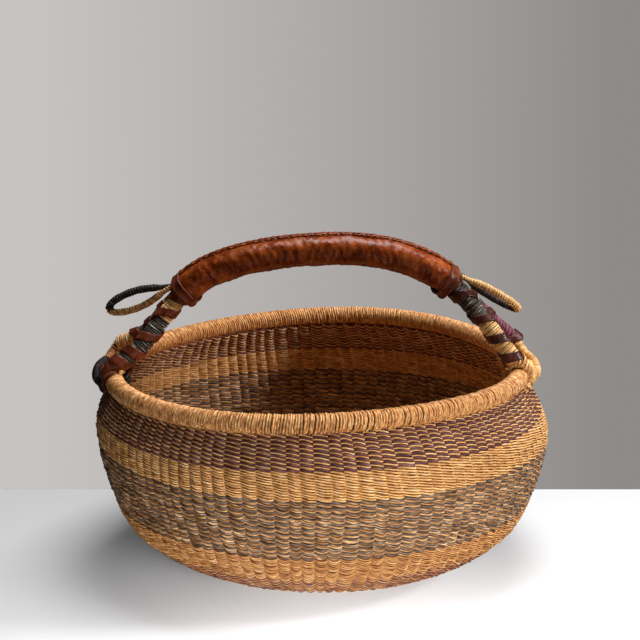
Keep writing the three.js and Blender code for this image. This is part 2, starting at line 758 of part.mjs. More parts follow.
function loopHalf(side, droop, roll, hand) {
  const { pivot } = loopFrame(side);
  const along = new THREE.Vector3(side * Math.cos(droop), 0, -Math.sin(droop));
  const level = new THREE.Vector3(0, 1, 0);
  const upright = new THREE.Vector3(side * Math.sin(droop), 0, Math.cos(droop));
  const pointAt = (reach, apart) => {
    const twist = (turn / 4 - roll) * THREE.MathUtils.smoothstep(reach, 0, loopTwistShare);
    const across = level.clone().multiplyScalar(Math.cos(twist)).addScaledVector(upright, Math.sin(twist));
    return pivot.clone().addScaledVector(along, reach * loopLength).addScaledVector(across, hand * apart);
  };
  const points = [
    pointAt(0, loopRootSpread),
    ...loopShares.map(([reach, height]) => pointAt(reach, height * loopHalfHeight)),
    pointAt(1, strawJoint / 2),
  ];
  const curve = new THREE.CatmullRomCurve3(points, false, 'centripetal');
  const across = level.clone().multiplyScalar(Math.sin(roll)).addScaledVector(upright, Math.cos(roll));
  const normal = upright.clone().multiplyScalar(Math.sin(roll)).addScaledVector(level, -Math.cos(roll));
  const ringAt = (centre, tangent, radius) => {
    const up = tangent.clone().cross(normal).normalize();
    return ovalRing({ centre, up, sideways: up.clone().cross(tangent) }, radius, radius, loopSides);
  };
  const rings = rootBallShares.map((share) => {
    const angle = (share * turn) / 4;
    const centre = points[0].clone().addScaledVector(along, -loopRootRadius * Math.cos(angle));
    return ringAt(centre, along, loopRootRadius * Math.sin(angle));
  });
  for (let k = 1; k < loopSteps; k += 1) {
    const share = k / loopSteps;
    const swell = THREE.MathUtils.smoothstep(share, ...swellShares);
    const radius = THREE.MathUtils.lerp(loopRootRadius, loopCordRadius, swell);
    rings.push(ringAt(curve.getPointAt(share), curve.getTangentAt(share), radius));
  }
  rings.push(ringAt(points[points.length - 1], across.multiplyScalar(-hand), loopCordRadius));
  return loft(rings);
}

function loopStub(side) {
  const { frame, away } = loopFrame(side);
  const halfWidth = loopRootSpread + loopRootRadius;
  const rings = [stubLength, 0].map((back) => {
    const centre = frame.centre.clone().addScaledVector(frame.up, stubRise).addScaledVector(away, -back);
    return ovalRing({ centre, up: frame.up, sideways: frame.sideways }, halfWidth, loopRootRadius, loopSides);
  });
  return loft(side > 0 ? rings : rings.reverse());
}

// Colours
const naturalStraw = 0xc9a56a;
const purpleStraw = 0x6f4a63;
const greyStraw = 0x77736f;
const darkStraw = 0x3a3436;
const brownLeather = 0x8a4a2c;

// The finish of each leg's straw above and below its change of colour, and of the lashing at its foot.
const legFinishes = {
  left: {
    near: { upper: straw(naturalStraw), lower: straw(greyStraw), lashing: leather(brownLeather) },
    far: { upper: straw(greyStraw), lower: straw(naturalStraw), lashing: straw(darkStraw) },
  },
  right: {
    near: { upper: straw(greyStraw), lower: straw(naturalStraw), lashing: straw(naturalStraw) },
    far: { upper: straw(greyStraw), lower: straw(purpleStraw), lashing: straw(naturalStraw) },
  },
};

addPiece('stakes', stakeFrame(), straw(naturalStraw));
addPiece('base_mat', wovenBand('centre', 'footCurve', 'baseEdge'), straw(naturalStraw));
addPiece('foot_band', wovenBand('footCurve', 'footTop'), straw(purpleStraw));
addPiece('lower_plain_band', wovenBand('footTop', 'lowerTop'), straw(naturalStraw));
addPiece('grey_band', wovenBand('lowerTop', 'greyTop'), straw(greyStraw));
addPiece('upper_plain_band', wovenBand('greyTop', 'upperTop'), straw(naturalStraw));
addPiece('purple_band', notchedBand(wovenBand('upperTop', 'top')), straw(purpleStraw));
addPiece('rim_core', rimCore(), straw(naturalStraw));
addPiece('rim_wrap', rimWrap(), straw(naturalStraw));

const sides = { left: -1, right: 1 };
for (const [strandName, curve] of Object.entries(strands)) {
  addPiece(`${strandName}_strand_core`, strandCore(curve), straw(naturalStraw));
  for (const [sideName, side] of Object.entries(sides)) {
    const crossings = strapCrossingShares[sideName][strandName];
    const finishes = legFinishes[sideName][strandName];
    const leg = `${sideName}_${strandName}_leg`;
    const joint = strawJoint / legRun(curve, side).legLength;
    const upper = naturalStrawShare - joint / 2;
    const lower = naturalStrawShare + joint / 2;
    addPiece(`${leg}_upper_straw`, strawSleeve(curve, side, 0, upper), finishes.upper);
    addPiece(`${leg}_lower_straw`, strawSleeve(curve, side, lower, 1), finishes.lower);
    addPiece(`${leg}_strap`, legStrap(curve, side, crossings), leather(brownLeather));
  }
}
const gripCover = gripSleeve(mouths.left, mouths.right, gripSteps, gripClearance, gripLeather);
addPiece('grip_leather', gripCover, leather(brownLeather));
addPiece('seam_lace', seamLace(), leather(brownLeather));
addPiece('left_collar', collar(-1), leather(brownLeather));
addPiece('right_collar', collar(1), leather(brownLeather));

for (const [sideName, side] of Object.entries(sides)) {
  addPiece(`${sideName}_near_lashing`, lashing(side, -1, false), legFinishes[sideName].near.lashing);
  addPiece(`${sideName}_far_lashing`, lashing(side, 1, true), legFinishes[sideName].far.lashing);
  addPiece(`${sideName}_loop_root`, loopStub(side), straw(darkStraw));
}
addPiece('left_loop_dark', loopHalf(-1, leftLoopDroop, 0, 1), straw(darkStraw));
addPiece('left_loop_natural', loopHalf(-1, leftLoopDroop, 0, -1), straw(naturalStraw));
addPiece('right_loop_natural', loopHalf(1, rightLoopDroop, rightLoopRoll, -1), straw(naturalStraw));
addPiece('right_loop_dark', loopHalf(1, rightLoopDroop, rightLoopRoll, 1), straw(darkStraw));

export default basket;
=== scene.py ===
"""A round, twined straw basket with a rolled rim and an arched handle bound in leather.

Lengths in this script are millimetres in the basket's own frame, and become metres when a mesh is made.
The origin is on the floor at the centre of the base, +X runs to the right along the handle, -Y is the front.
"""
import math
from math import radians

import bpy
import numpy as np
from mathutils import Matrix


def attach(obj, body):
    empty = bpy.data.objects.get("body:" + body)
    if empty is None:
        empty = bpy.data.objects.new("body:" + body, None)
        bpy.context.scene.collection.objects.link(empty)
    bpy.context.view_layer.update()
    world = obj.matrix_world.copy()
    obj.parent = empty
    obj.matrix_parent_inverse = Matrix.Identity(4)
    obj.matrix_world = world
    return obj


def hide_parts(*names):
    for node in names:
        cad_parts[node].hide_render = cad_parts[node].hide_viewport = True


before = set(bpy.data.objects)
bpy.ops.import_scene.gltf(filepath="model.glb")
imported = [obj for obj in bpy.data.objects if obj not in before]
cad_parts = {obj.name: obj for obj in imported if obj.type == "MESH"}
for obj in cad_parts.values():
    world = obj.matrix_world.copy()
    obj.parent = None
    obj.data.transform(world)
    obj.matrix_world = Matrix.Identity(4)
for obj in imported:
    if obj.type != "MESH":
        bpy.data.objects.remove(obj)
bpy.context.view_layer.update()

MM = 0.001
TURN = 2 * math.pi
rng = np.random.default_rng(54)


def stand(name, data):
    """A new object in the scene."""
    thing = bpy.data.objects.new(name, data)
    bpy.context.scene.collection.objects.link(thing)
    return thing


def stand_camera(degrees_down):
    """The camera stands square on to the handle, a little above it, and looks along +Y and a little down. Its place
    is in metres."""
    data = bpy.data.cameras.new("view")
    data.lens = 94.837
    data.sensor_width = 36
    camera = stand("view", data)
    camera.location = (-0.003026, -1.552732, 0.615848)
    camera.rotation_euler = (radians(90 - degrees_down), 0, 0)
    bpy.context.scene.camera = camera


stand_camera(13.96157)
bpy.context.scene.view_settings.view_transform = "Standard"


# The basket's sizes, as in its solids

BELLY = 213.7
WALL_THICKNESS = 6.8
RIM_RADIUS = 191.5
RIM_HEIGHT = 184.7
RIM_ROLL = 9.0
WALL_TOP = RIM_HEIGHT - RIM_ROLL - 0.4
WALL_KNOTS = {
    "centre": (0, 0), "base_edge": (93.5, 0),
    "foot_curve": (0.599 * BELLY, 0.046 * WALL_TOP), "foot_rise": (0.751 * BELLY, 0.12 * WALL_TOP),
    "foot_top": (0.866 * BELLY, 0.23 * WALL_TOP), "lower_top": (0.932 * BELLY, 0.376 * WALL_TOP),
    "grey_middle": (0.981 * BELLY, 0.559 * WALL_TOP), "grey_top": (BELLY, 0.707 * WALL_TOP),
    "upper_top": (0.982 * BELLY, 0.848 * WALL_TOP), "shoulder": (0.952 * BELLY, 0.929 * WALL_TOP),
    "top": (RIM_RADIUS + WALL_THICKNESS / 2, WALL_TOP), "under_rim": (RIM_RADIUS + 2.2, WALL_TOP + 3),
    "in_rim": (RIM_RADIUS + 1.2, WALL_TOP + 5),
}
SETTLE_START = WALL_KNOTS["grey_top"][1]
RIM_WAVE = ((1, 3.7, 0.3), (2, -2.4, 0.7), (3, -1.5, -0.1))
RIM_SHIFT = -6.5
OVAL = 0.006

# The weave: its stakes, its middle's distance outside the wall's, the spacing of the stakes at which the stitches
# have their full size, the least share of it, and that size: reach in and out, slope, half thickness at a crossing
# and how much it grows over a stake. Then how far a row reaches over its neighbours, and the base's row height.

RIBS = 108
ROW_SHIFT = 0.45
FULL_STAKE_SPACING = 9
SMALLEST_STITCH = 0.25
STITCH_REACH = 2.2
STITCH_SLOPE = 0.95
STITCH_THICK = 0.90
STITCH_SWELL = 0.42
ROW_OVERLAP = 1.03
BASE_PITCH = 2.7

# The rim's overcast straw, and the points on one turn of any winding

RIM_TURNS = 500
TURN_STEPS = 14

# The handle: its arch, the grip's share of its reach, and how far inside the grip its strands begin to part. The
# spreads are distances from the handle's plane. Sides are -1 for left and 1 for right, depths -1 for near, 1 for far.

ARCH_RISE = 113.5
ARCH_REACH = 182
GRIP_SHARE = 0.7
GRIP_EASE = 42
GRIP_SPREAD = 8.6
MOUTH_SPREAD = 10.6
FOOT_SPREAD = 37
FOOT_DISTANCE = 16.6
FOOT_ANGLES = {-1: radians(106), 0: radians(106), 1: radians(82)}
ARCH = (
    (-0.9, 0.24), (-0.8, 0.43), (-0.71, 0.605), (-0.6, 0.765), (-0.45, 0.875), (-0.25, 0.953), (-0.05, 0.99),
    (0.12, 1), (0.28, 0.985), (0.43, 0.935), (0.58, 0.84), (0.7, 0.7), (0.8, 0.55), (0.9, 0.37),
)
SIDE_NAMES = {-1: "left", 1: "right"}
DEPTH_NAMES = {-1: "near", 1: "far"}


# Lines and paths

def smooth_line(knots, per_span=24):
    """A smooth line through knots. On each span it is the cubic Hermite blend of the two knots, whose end slopes
    weigh the neighbouring spans by the square roots of their lengths (a centripetal Catmull-Rom line)."""
    k = np.asarray(knots, float)
    k = np.vstack([2 * k[0] - k[1], k, 2 * k[-1] - k[-2]])
    d = np.sqrt(np.linalg.norm(np.diff(k, axis=0), axis=1))[:, None]
    a, b, c, e = k[:-3], k[1:-2], k[2:-1], k[3:]
    d0, d1, d2 = d[:-2], d[1:-1], d[2:]
    first = ((b - a) / d0 - (c - a) / (d0 + d1) + (c - b) / d1) * d1
    second = ((c - b) / d1 - (e - b) / (d1 + d2) + (e - c) / d2) * d1
    t = np.linspace(0, 1, per_span, endpoint=False)[None, :, None]
    b, c, first, second = (v[:, None, :] for v in (b, c, first, second))
    line = ((2 * t**3 - 3 * t**2 + 1) * b + (t**3 - 2 * t**2 + t) * first
            + (3 * t**2 - 2 * t**3) * c + (t**3 - t**2) * second)
    return np.vstack([line.reshape(-1, k.shape[1]), k[-2]])


def run_lengths(line):
    """The length along a line from its start to each of its points."""
    return np.concatenate([[0], np.cumsum(np.linalg.norm(np.diff(line, axis=0), axis=1))])


def unit(v):
    """Vectors over their lengths."""
    return v / np.maximum(np.linalg.norm(v, axis=-1, keepdims=True), 1e-9)


def lerp(a, b, t):
    """a where t is 0, b where it is 1, and a straight line between."""
    return a + (b - a) * t


def smoothstep(x, low, high):
    """0 below low, 1 above high, and 3t^2 - 2t^3 between them."""
    t = np.clip((x - low) / (high - low), 0, 1)
    return t * t * (3 - 2 * t)


def blended(x, places, rows):
    """Rows of numbers that stand at places, blended linearly at x."""
    return np.stack([np.interp(x, places, column) for column in np.transpose(rows)], -1)


class Path:
    """A smooth line with a frame: along it, up, and sideways (up x along). Up is along x +Y, or else it is blended
    from the ups given, evenly from the line's start to its end, and made square to the line."""

    def __init__(self, knots, per_span=24, up=None):
        self.line = smooth_line(knots, per_span)
        self.length_at = run_lengths(self.line)
        self.length = self.length_at[-1]
        self.along = unit(np.gradient(self.line, self.length_at, axis=0))
        if up is None:
            self.up = unit(np.cross(self.along, [0, 1, 0]))
        else:
            up = blended(np.linspace(0, 1, len(self.line)), np.linspace(0, 1, len(up)), up)
            self.up = unit(up - self.along * (up * self.along).sum(1)[:, None])

    def at(self, distance):
        """Centre, along, up and sideways at distances along the path, each read off by linear blending."""
        centre, along, up = (blended(distance, self.length_at, rows) for rows in (self.line, self.along, self.up))
        along, up = unit(along), unit(up)
        return centre, along, up, np.cross(up, along)

    def where_x(self, x):
        """The distance along the path at which it passes an x."""
        return float(np.interp(x, self.line[:, 0], self.length_at))


# The settled shape of the body

def settle(p):
    """Moves points of the true, round basket to where it settled: an oval of 0.6 per cent, and above the belly a
    mouth that is shifted to the left and rises and falls as a sum of three waves round the basket."""
    azimuth = np.arctan2(p[..., 1], p[..., 0])
    share = np.clip((p[..., 2] - SETTLE_START) / (WALL_TOP - SETTLE_START), 0, 1)
    wave = sum(c * np.cos(n * azimuth) + s * np.sin(n * azimuth) for n, c, s in RIM_WAVE)
    return np.stack([p[..., 0] * (1 + OVAL) + RIM_SHIFT * share, p[..., 1] * (1 - OVAL), p[..., 2] + wave * share], -1)


WALL_STEPS = 32
WALL_LINE = smooth_line(list(WALL_KNOTS.values()), WALL_STEPS)
WALL_LINE[:, 1] = np.maximum(WALL_LINE[:, 1], 0)
WALL_RUN = run_lengths(WALL_LINE)
WALL_ALONG = unit(np.gradient(WALL_LINE, WALL_RUN, axis=0))
WALL_STOPS = {name: WALL_RUN[WALL_STEPS * i] for i, name in enumerate(WALL_KNOTS)}


def wall_point(run, depth, azimuth):
    """The point of the settled wall at a run up its profile from the base's centre, a depth outwards from the
    wall's middle, and an azimuth: profile + outward normal x (depth - half the thickness), spun and settled."""
    radius, height = (np.interp(run, WALL_RUN, WALL_LINE[:, i]) for i in (0, 1))
    up_radius, up_height = (np.interp(run, WALL_RUN, WALL_ALONG[:, i]) for i in (0, 1))
    out = depth - WALL_THICKNESS / 2
    radius = np.maximum(radius + up_height * out, 0.2)
    height = height - up_radius * out
    radius, height, azimuth = np.broadcast_arrays(radius, height, azimuth)
    return settle(np.stack([radius * np.cos(azimuth), radius * np.sin(azimuth), height], -1))


def round_rim(azimuth, angle):
    """The level direction outwards at an azimuth, and the one at an angle round the rim's roll from it."""
    flat = np.stack([np.cos(azimuth), np.sin(azimuth), 0 * azimuth], -1)
    return flat, flat * np.cos(angle)[..., None] + np.sin(angle)[..., None] * [0, 0, 1]


def rim_point(side, spread, angle, distance):
    """The point round the rim's centreline: spread along the rim from the handle's plane, at an angle round the
    rim from straight outwards, and that distance away. Also gives the direction away from the centreline."""
    spread, angle, distance = np.broadcast_arrays(spread, angle, distance)
    azimuth = spread / RIM_RADIUS if side > 0 else math.pi - spread / RIM_RADIUS
    flat, away = round_rim(azimuth, angle)
    return settle(flat * RIM_RADIUS + [0, 0, RIM_HEIGHT]) + away * distance[..., None], away


# Meshes

def ring_angles(count):
    """Angles evenly round a ring, in the direction that turns a mesh's faces outwards."""
    return -np.arange(count) * TURN / count


def make_piece(name, grids, material, node, body="basket"):
    """One mesh from grids of points, which rides on a body and stands for a node. A grid is (points[batch, u, v, 3],
    lay[batch, u], closed). It is closed round v, and along u it is closed, or else capped at both ends. Its UV map
    'lay' holds the length along the straw or strip in centimetres, and 3 x the strand's number + the share round
    it."""
    all_points, all_quads, all_uv, start, strand = [], [], [], 0, 0
    for points, lay, closed in grids:
        b, u, v, _ = points.shape
        index = start + np.arange(b * u * v).reshape(b, u, v)
        here = index if closed else index[:, :-1]
        ahead = np.roll(index, -1, axis=1) if closed else index[:, 1:]
        quads = np.stack([here, np.roll(here, -1, axis=2), np.roll(ahead, -1, axis=2), ahead], -1).reshape(-1, 4)
        lay = np.broadcast_to(lay, (b, u))
        if closed:
            lay = np.concatenate([lay, lay[:, -1:] + (lay[:, -1:] - lay[:, -2:-1])], 1)
        around = (strand + np.arange(b))[:, None, None] * 3.0 + np.arange(v + 1)[None, None, :] / v
        corner_u = np.broadcast_to(lay[:, :, None], (b, lay.shape[1], v + 1))
        uv = np.stack([corner_u, np.broadcast_to(around, corner_u.shape)], -1)
        uv = np.stack([uv[:, :-1, :-1], uv[:, :-1, 1:], uv[:, 1:, 1:], uv[:, 1:, :-1]], 3).reshape(-1, 4, 2)
        all_points.append(points.reshape(-1, 3))
        all_quads.append(quads)
        all_uv.append(uv)
        start += b * u * v
        strand += b
        if not closed:
            all_points.append(np.stack([points[:, 0].mean(1), points[:, -1].mean(1)], 1).reshape(-1, 3))
            for k, ring, order in ((0, index[:, 0], 1), (1, index[:, -1], -1)):
                tip = np.broadcast_to((start + 2 * np.arange(b) + k)[:, None], ring.shape)
                near, far = (ring, np.roll(ring, -1, axis=1))[::order]
                all_quads.append(np.stack([tip, far, near, near], -1).reshape(-1, 4))
                all_uv.append(np.full((b * v, 4, 2), 0.5 + lay[:, -k].mean()))
            start += 2 * b
    points, quads, uv = np.vstack(all_points), np.vstack(all_quads), np.vstack(all_uv)
    three = quads[:, 2] == quads[:, 3]
    total = np.where(three, 3, 4)
    keep = np.ones(quads.shape, bool)
    keep[three, 3] = False
    mesh = bpy.data.meshes.new(name)
    mesh.vertices.add(len(points))
    mesh.vertices.foreach_set("co", (points * MM).astype(np.float32).ravel())
    mesh.loops.add(int(total.sum()))
    mesh.loops.foreach_set("vertex_index", quads[keep].astype(np.int32))
    mesh.polygons.add(len(quads))
    mesh.polygons.foreach_set("loop_start", np.concatenate([[0], np.cumsum(total)[:-1]]).astype(np.int32))
    mesh.polygons.foreach_set("use_smooth", np.ones(len(quads), bool))
    mesh.update(calc_edges=True)
    layer = mesh.uv_layers.new(name="lay")
    layer.data.foreach_set("uv", uv[keep].astype(np.float32).ravel())
    mesh.materials.append(material)
    piece = stand(name, mesh)
    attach(piece, body)
    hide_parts(node)


def tube_grid(centre, out, across, thick, wide, sides, closed=False):
    """A tube of oval section along centres[u, 3]: centre + out x thick x cos(a) + across x wide x sin(a)."""
    a = ring_angles(sides)[:, None]
    thick, wide = (np.broadcast_to(v, len(centre))[:, None, None] for v in (thick, wide))
    points = centre[:, None] + out[:, None] * thick * np.cos(a) + across[:, None] * wide * np.sin(a)
    return points[None], run_lengths(centre)[None] / 10, closed


# Finishes

class Nodes:
    """The nodes of a material or of the room, and the ways to add to them."""

    def __init__(self, owner):
        owner.use_nodes = True
        self.owner = owner
        self.nodes = owner.node_tree.nodes
        self.links = owner.node_tree.links

    def feed(self, node, inputs):
        """Joins each input to the output that is given for it, or sets it to its number or colour."""
        for name, value in inputs.items():
            if isinstance(value, bpy.types.NodeSocket):
                self.links.new(value, node.inputs[name])
            else:
                node.inputs[name].default_value = value

    def add(self, kind, output, inputs, **settings):
        """A new node's output."""
        node = self.nodes.new(kind)
        for name, value in settings.items():
            setattr(node, name, value)
        self.feed(node, inputs)
        return node.outputs[output]

    def noise(self, source, scale, detail=3.0, rough=0.6):
        """Noise on a stretched copy of the coordinates."""
        place = self.add("ShaderNodeMapping", "Vector", {"Vector": source, "Scale": scale})
        return self.add("ShaderNodeTexNoise", "Fac",
                        {"Vector": place, "Scale": 1.0, "Detail": detail, "Roughness": rough})

    def blend(self, first, second, share):
        """first x (1 - share) + second x share."""
        return self.add("ShaderNodeMix", "Result", {"Factor": share, "A": first, "B": second}, data_type="FLOAT")

    def spread(self, value, low, high, start=0.3, end=0.7):
        """The value from start to end spread over low to high."""
        return self.add("ShaderNodeMapRange", "Result", {
            "Value": value, "From Min": start, "From Max": end, "To Min": low, "To Max": high})

    def bump(self, height, strength, distance):
        """The surface's normal, tilted by the slope of height x distance, in metres, times the strength."""
        return self.add("ShaderNodeBump", "Normal", {"Height": height, "Strength": strength, "Distance": distance})

    def ramp(self, value, stops):
        """A colour ramp through stops of a place, red, green and blue."""
        ramp = self.nodes.new("ShaderNodeValToRGB")
        while len(ramp.color_ramp.elements) < len(stops):
            ramp.color_ramp.elements.new(0.5)
        for element, (place, *colour) in zip(ramp.color_ramp.elements, stops):
            element.position = place
            element.color = (*colour, 1)
        self.feed(ramp, {"Fac": value})
        return ramp.outputs["Color"]

    def shade(self, inputs):
        """The material, with the inputs of its shader joined or set."""
        self.feed(self.nodes["Principled BSDF"], inputs)
        return self.owner


def painted_shade_on_sides(straw, colour, lay, left):
    """The colour with painted shade on the straw's sides, for the shadow in the gaps between straws: times a ramp from
    1 to left on |sin(2 pi x share round it)|, where the share is the fraction of the UV map's second value."""
    value = straw.add("ShaderNodeSeparateXYZ", "Y", {"Vector": lay})
    for operation, number in (("MULTIPLY", TURN), ("SINE", 0), ("ABSOLUTE", 0)):
        value = straw.add("ShaderNodeMath", "Value", {0: value, 1: number}, operation=operation)
    shade = straw.ramp(value, ((0.5, 1, 1, 1), (0.97, *left)))
    return straw.add("ShaderNodeMix", "Result", {"Factor": 1.0, "A": colour, "B": shade},
                     data_type="RGBA", blend_type="MULTIPLY")


def straw_finish(name, stops, gloss=0.5, patches=0.75, sides=None):
    """Straw: fine fibres along it, a tone that changes from stitch to stitch and from straw to straw, soft gloss, and
    painted shade on its sides, for the shadow in the gaps between straws, where a tint for it is given. Its colour is a
    ramp on 0.6 x tone + 0.4 x fibres."""
    straw = Nodes(bpy.data.materials.new(name))
    lay = straw.add("ShaderNodeUVMap", "UV", {}, uv_map="lay")
    fibres = straw.noise(lay, (0.5, 9.0, 1.0))
    tone = straw.noise(lay, (patches, 1.9, 1.0))
    colour = straw.ramp(straw.blend(tone, fibres, 0.4), stops)
    # Painted shade: the sides tint darkens the straw's sides in place of the shadow between straws
    if sides:
        colour = painted_shade_on_sides(straw, colour, lay, sides)
    return straw.shade({
        "Base Color": colour, "Roughness": straw.spread(fibres, 0.42, 0.68),
        "Normal": straw.bump(fibres, 0.35, 0.0004), "Specular IOR Level": gloss})


def solid_straw_finish(name, stops):
    """Bundled straw on a plain solid: streaks from noise on the piece's own place."""
    straw = Nodes(bpy.data.materials.new(name))
    streaks = straw.noise(straw.add("ShaderNodeTexCoord", "Object", {}), (700.0, 700.0, 260.0))
    return straw.shade({
        "Base Color": straw.ramp(streaks, stops), "Roughness": 0.7, "Normal": straw.bump(streaks, 0.5, 0.0006)})


def leather_finish(name, stops, rough=(0.22, 0.42)):
    """Waxed goatskin: brown mottled over orange with fine flecks, pores, and a gloss that is uneven from rubbing.
    Its colour is a ramp on 0.68 x blotches + 0.32 x flecks, and its height 0.65 x flecks + 0.35 x pores."""
    skin = Nodes(bpy.data.materials.new(name))
    place = skin.add("ShaderNodeTexCoord", "Object", {})
    blotches = skin.noise(place, (75.0, 75.0, 95.0), 4.0, 0.62)
    flecks = skin.noise(place, (420.0, 420.0, 420.0))
    pores = skin.add("ShaderNodeTexVoronoi", "Distance", {"Vector": place, "Scale": 650.0})
    return skin.shade({
        "Base Color": skin.ramp(skin.blend(blotches, flecks, 0.32), stops),
        "Roughness": skin.spread(blotches, *rough),
        "Normal": skin.bump(skin.blend(flecks, pores, 0.35), 0.35, 0.0009), "Specular IOR Level": 0.25})


# The sides tints below are painted shade on the straws' sides, for the shadow in the gaps between rows
natural = straw_finish("natural_straw", (
    (0.36, 0.2, 0.07, 0.014), (0.46, 0.74, 0.365, 0.105), (0.54, 1, 0.57, 0.21), (0.63, 1, 0.8, 0.47)),
    sides=(0.44, 0.28, 0.18))
# Golden straw: a browner straw whose darker ramp is partly painted shade, where it stands for straw that is lit less
golden = straw_finish("golden_straw", (
    (0.36, 0.13, 0.038, 0.007), (0.45, 0.46, 0.185, 0.047), (0.54, 0.73, 0.37, 0.115), (0.64, 1, 0.7, 0.37)),
    sides=(0.44, 0.28, 0.18))
rim_straw = straw_finish("rim_straw", (
    (0.36, 0.18, 0.054, 0.01), (0.46, 0.55, 0.21, 0.055), (0.54, 0.84, 0.42, 0.13), (0.62, 1, 0.73, 0.37)),
    patches=2.2)
weathered = straw_finish("weathered_straw", (
    (0.37, 0.07, 0.023, 0.006), (0.46, 0.33, 0.15, 0.046), (0.54, 0.62, 0.32, 0.12), (0.62, 1, 0.7, 0.38)),
    sides=(0.62, 0.5, 0.4))
purple = straw_finish("purple_straw", (
    (0.36, 0.026, 0.005, 0.004), (0.46, 0.085, 0.019, 0.018), (0.55, 0.18, 0.052, 0.052), (0.65, 0.48, 0.22, 0.2)))
magenta = straw_finish("magenta_straw", (
    (0.36, 0.03, 0.004, 0.008), (0.46, 0.12, 0.014, 0.032), (0.55, 0.26, 0.045, 0.09), (0.65, 0.5, 0.18, 0.26)))
grey = straw_finish("grey_straw", (
    (0.37, 0.018, 0.01, 0.006), (0.46, 0.072, 0.042, 0.026), (0.54, 0.19, 0.122, 0.082), (0.62, 0.6, 0.45, 0.32)))
slate = straw_finish("slate_straw", (
    (0.36, 0.008, 0.005, 0.004), (0.47, 0.03, 0.021, 0.016), (0.55, 0.11, 0.085, 0.064), (0.62, 0.55, 0.47, 0.37)),
    gloss=0.3)
dark = straw_finish("dark_straw", (
    (0.36, 0.006, 0.004, 0.003), (0.47, 0.02, 0.013, 0.011), (0.56, 0.05, 0.037, 0.032), (0.66, 0.2, 0.16, 0.14)),
    gloss=0.25)
pale = straw_finish("pale_straw", (
    (0.36, 0.38, 0.155, 0.038), (0.46, 0.74, 0.39, 0.12), (0.54, 0.93, 0.56, 0.215), (0.62, 1, 0.8, 0.46)))
bundle = solid_straw_finish("bundled_straw", (
    (0.3, 0.04, 0.014, 0.004), (0.5, 0.12, 0.05, 0.014), (0.7, 0.24, 0.12, 0.04)))
leather = leather_finish("brown_leather", (
    (0.32, 0.065, 0.008, 0.001), (0.44, 0.2, 0.03, 0.003), (0.56, 0.32, 0.062, 0.007), (0.7, 0.46, 0.115, 0.022)))
worn_leather = leather_finish("strap_leather", (
    (0.3, 0.035, 0.005, 0.002), (0.45, 0.11, 0.019, 0.005), (0.58, 0.19, 0.038, 0.011), (0.74, 0.31, 0.095, 0.042)),
    (0.3, 0.55))
dark_leather = leather_finish("dark_strap_leather", (
    (0.3, 0.012, 0.003, 0.002), (0.45, 0.045, 0.01, 0.006), (0.58, 0.11, 0.028, 0.017), (0.74, 0.27, 0.1, 0.07)),
    (0.26, 0.5))


# Body: rows of twining round the stakes

def rib_drift(azimuth, run):
    """How far the stakes wander from even spacing, in stakes: four slow waves that lean as they climb."""
    return (0.26 * np.sin(4 * azimuth + 0.5 + 0.010 * run) + 0.16 * np.sin(9 * azimuth - 1.1 - 0.013 * run)
            + 0.07 * np.sin(19 * azimuth + 2.2 + 0.017 * run) + 0.05 * np.sin(34 * azimuth + 0.3 - 0.021 * run))


def stitch_room(spacing):
    """The share of their full size that stitches have where the stakes are a spacing apart."""
    return np.clip(spacing / FULL_STAKE_SPACING, SMALLEST_STITCH, 1)


def twined_rows(runs, half_rows, ribs=RIBS, steps=5, sides=6, uneven=1.0, relief=1.0, plump=0.16):
    """Rows of twining as one grid. Each row's two straws wind round each other, half a turn from one stake to the
    next. At a winding angle w a straw lies reach x cos(w) out from the middle of the weave, and slope x sin(w)
    below the row's line. Its section is an oval, 0.62 of the row's half height high where the straws cross, and
    plump more over a stake. Uneven scales how much the stitches differ in place, height and lift, and relief the
    reach."""
    count = ribs * steps
    azimuth = (np.arange(count) * TURN / count)[None, None, :, None]
    straw = np.arange(2)[None, :, None, None]
    section = ring_angles(sides)
    run = runs[:, None, None, None]
    half = half_rows[:, None, None, None]
    phase = rng.uniform(0, TURN, (3, len(runs)))[:, :, None, None, None]
    wobble = (0.05 * np.sin(13 * azimuth + phase[0]) + 0.05 * np.sin(29 * azimuth + phase[1])
              + 0.25 * np.sin(3 * azimuth + 0.02 * run) + 0.2 * np.sin(7 * azimuth + 1.3 + 0.04 * run))
    winding = math.pi * (ribs * azimuth / TURN + rib_drift(azimuth, run) * ribs / RIBS + straw)
    pitch = TURN * np.maximum(np.interp(run, WALL_RUN, WALL_LINE[:, 0]), 1) / ribs
    room = stitch_room(pitch)
    reach = STITCH_REACH * relief * room * (1 + 0.12 * np.sin(0.37 * ribs * azimuth + phase[2]))
    slope = STITCH_SLOPE * room
    over = np.abs(np.cos(winding))
    stitch = np.floor(winding / math.pi + 0.5).astype(int) % ribs
    row = np.arange(len(runs))[:, None, None, None]
    shift, swell, lift = (over * uneven * table[row, stitch] for table in rng.uniform(-1, 1, (3, len(runs), ribs)))
    height = half * (0.62 + plump * over + 0.18 * swell) + 0.5 * room * (1 - over)
    place = run + wobble + 0.22 * half * shift - slope * np.sin(winding) + height * np.sin(section)
    depth = (ROW_SHIFT * room + (reach + 0.45 * lift) * np.sign(np.cos(winding)) * over ** 0.7
             + (STITCH_THICK + STITCH_SWELL * over) * np.cos(section))
    points = wall_point(place, depth, azimuth)
    lay = (azimuth[0, 0, :, 0] * pitch[:, 0, 0] * ribs / TURN / 10)[:, None, :].repeat(2, 1)
    return points.reshape(-1, count, sides, 3), lay.reshape(-1, count), True


def lay_rows(start, end, pitch, even_share=0.5):
    """The middles and half heights of the rows between two stops of the wall's profile: an odd number of rows, of
    which the even ones have even_share of a pair's height."""
    low, high = WALL_STOPS[start], WALL_STOPS[end]
    count = 2 * round((high - low) / pitch / 2) + 1
    sizes = np.where(np.arange(count) % 2 == 0, even_share, 1 - even_share)
    edges = low + np.concatenate([[0], np.cumsum(sizes)]) / sizes.sum() * (high - low)
    return (edges[1:] + edges[:-1]) / 2, (edges[1:] - edges[:-1]) / 2 * ROW_OVERLAP


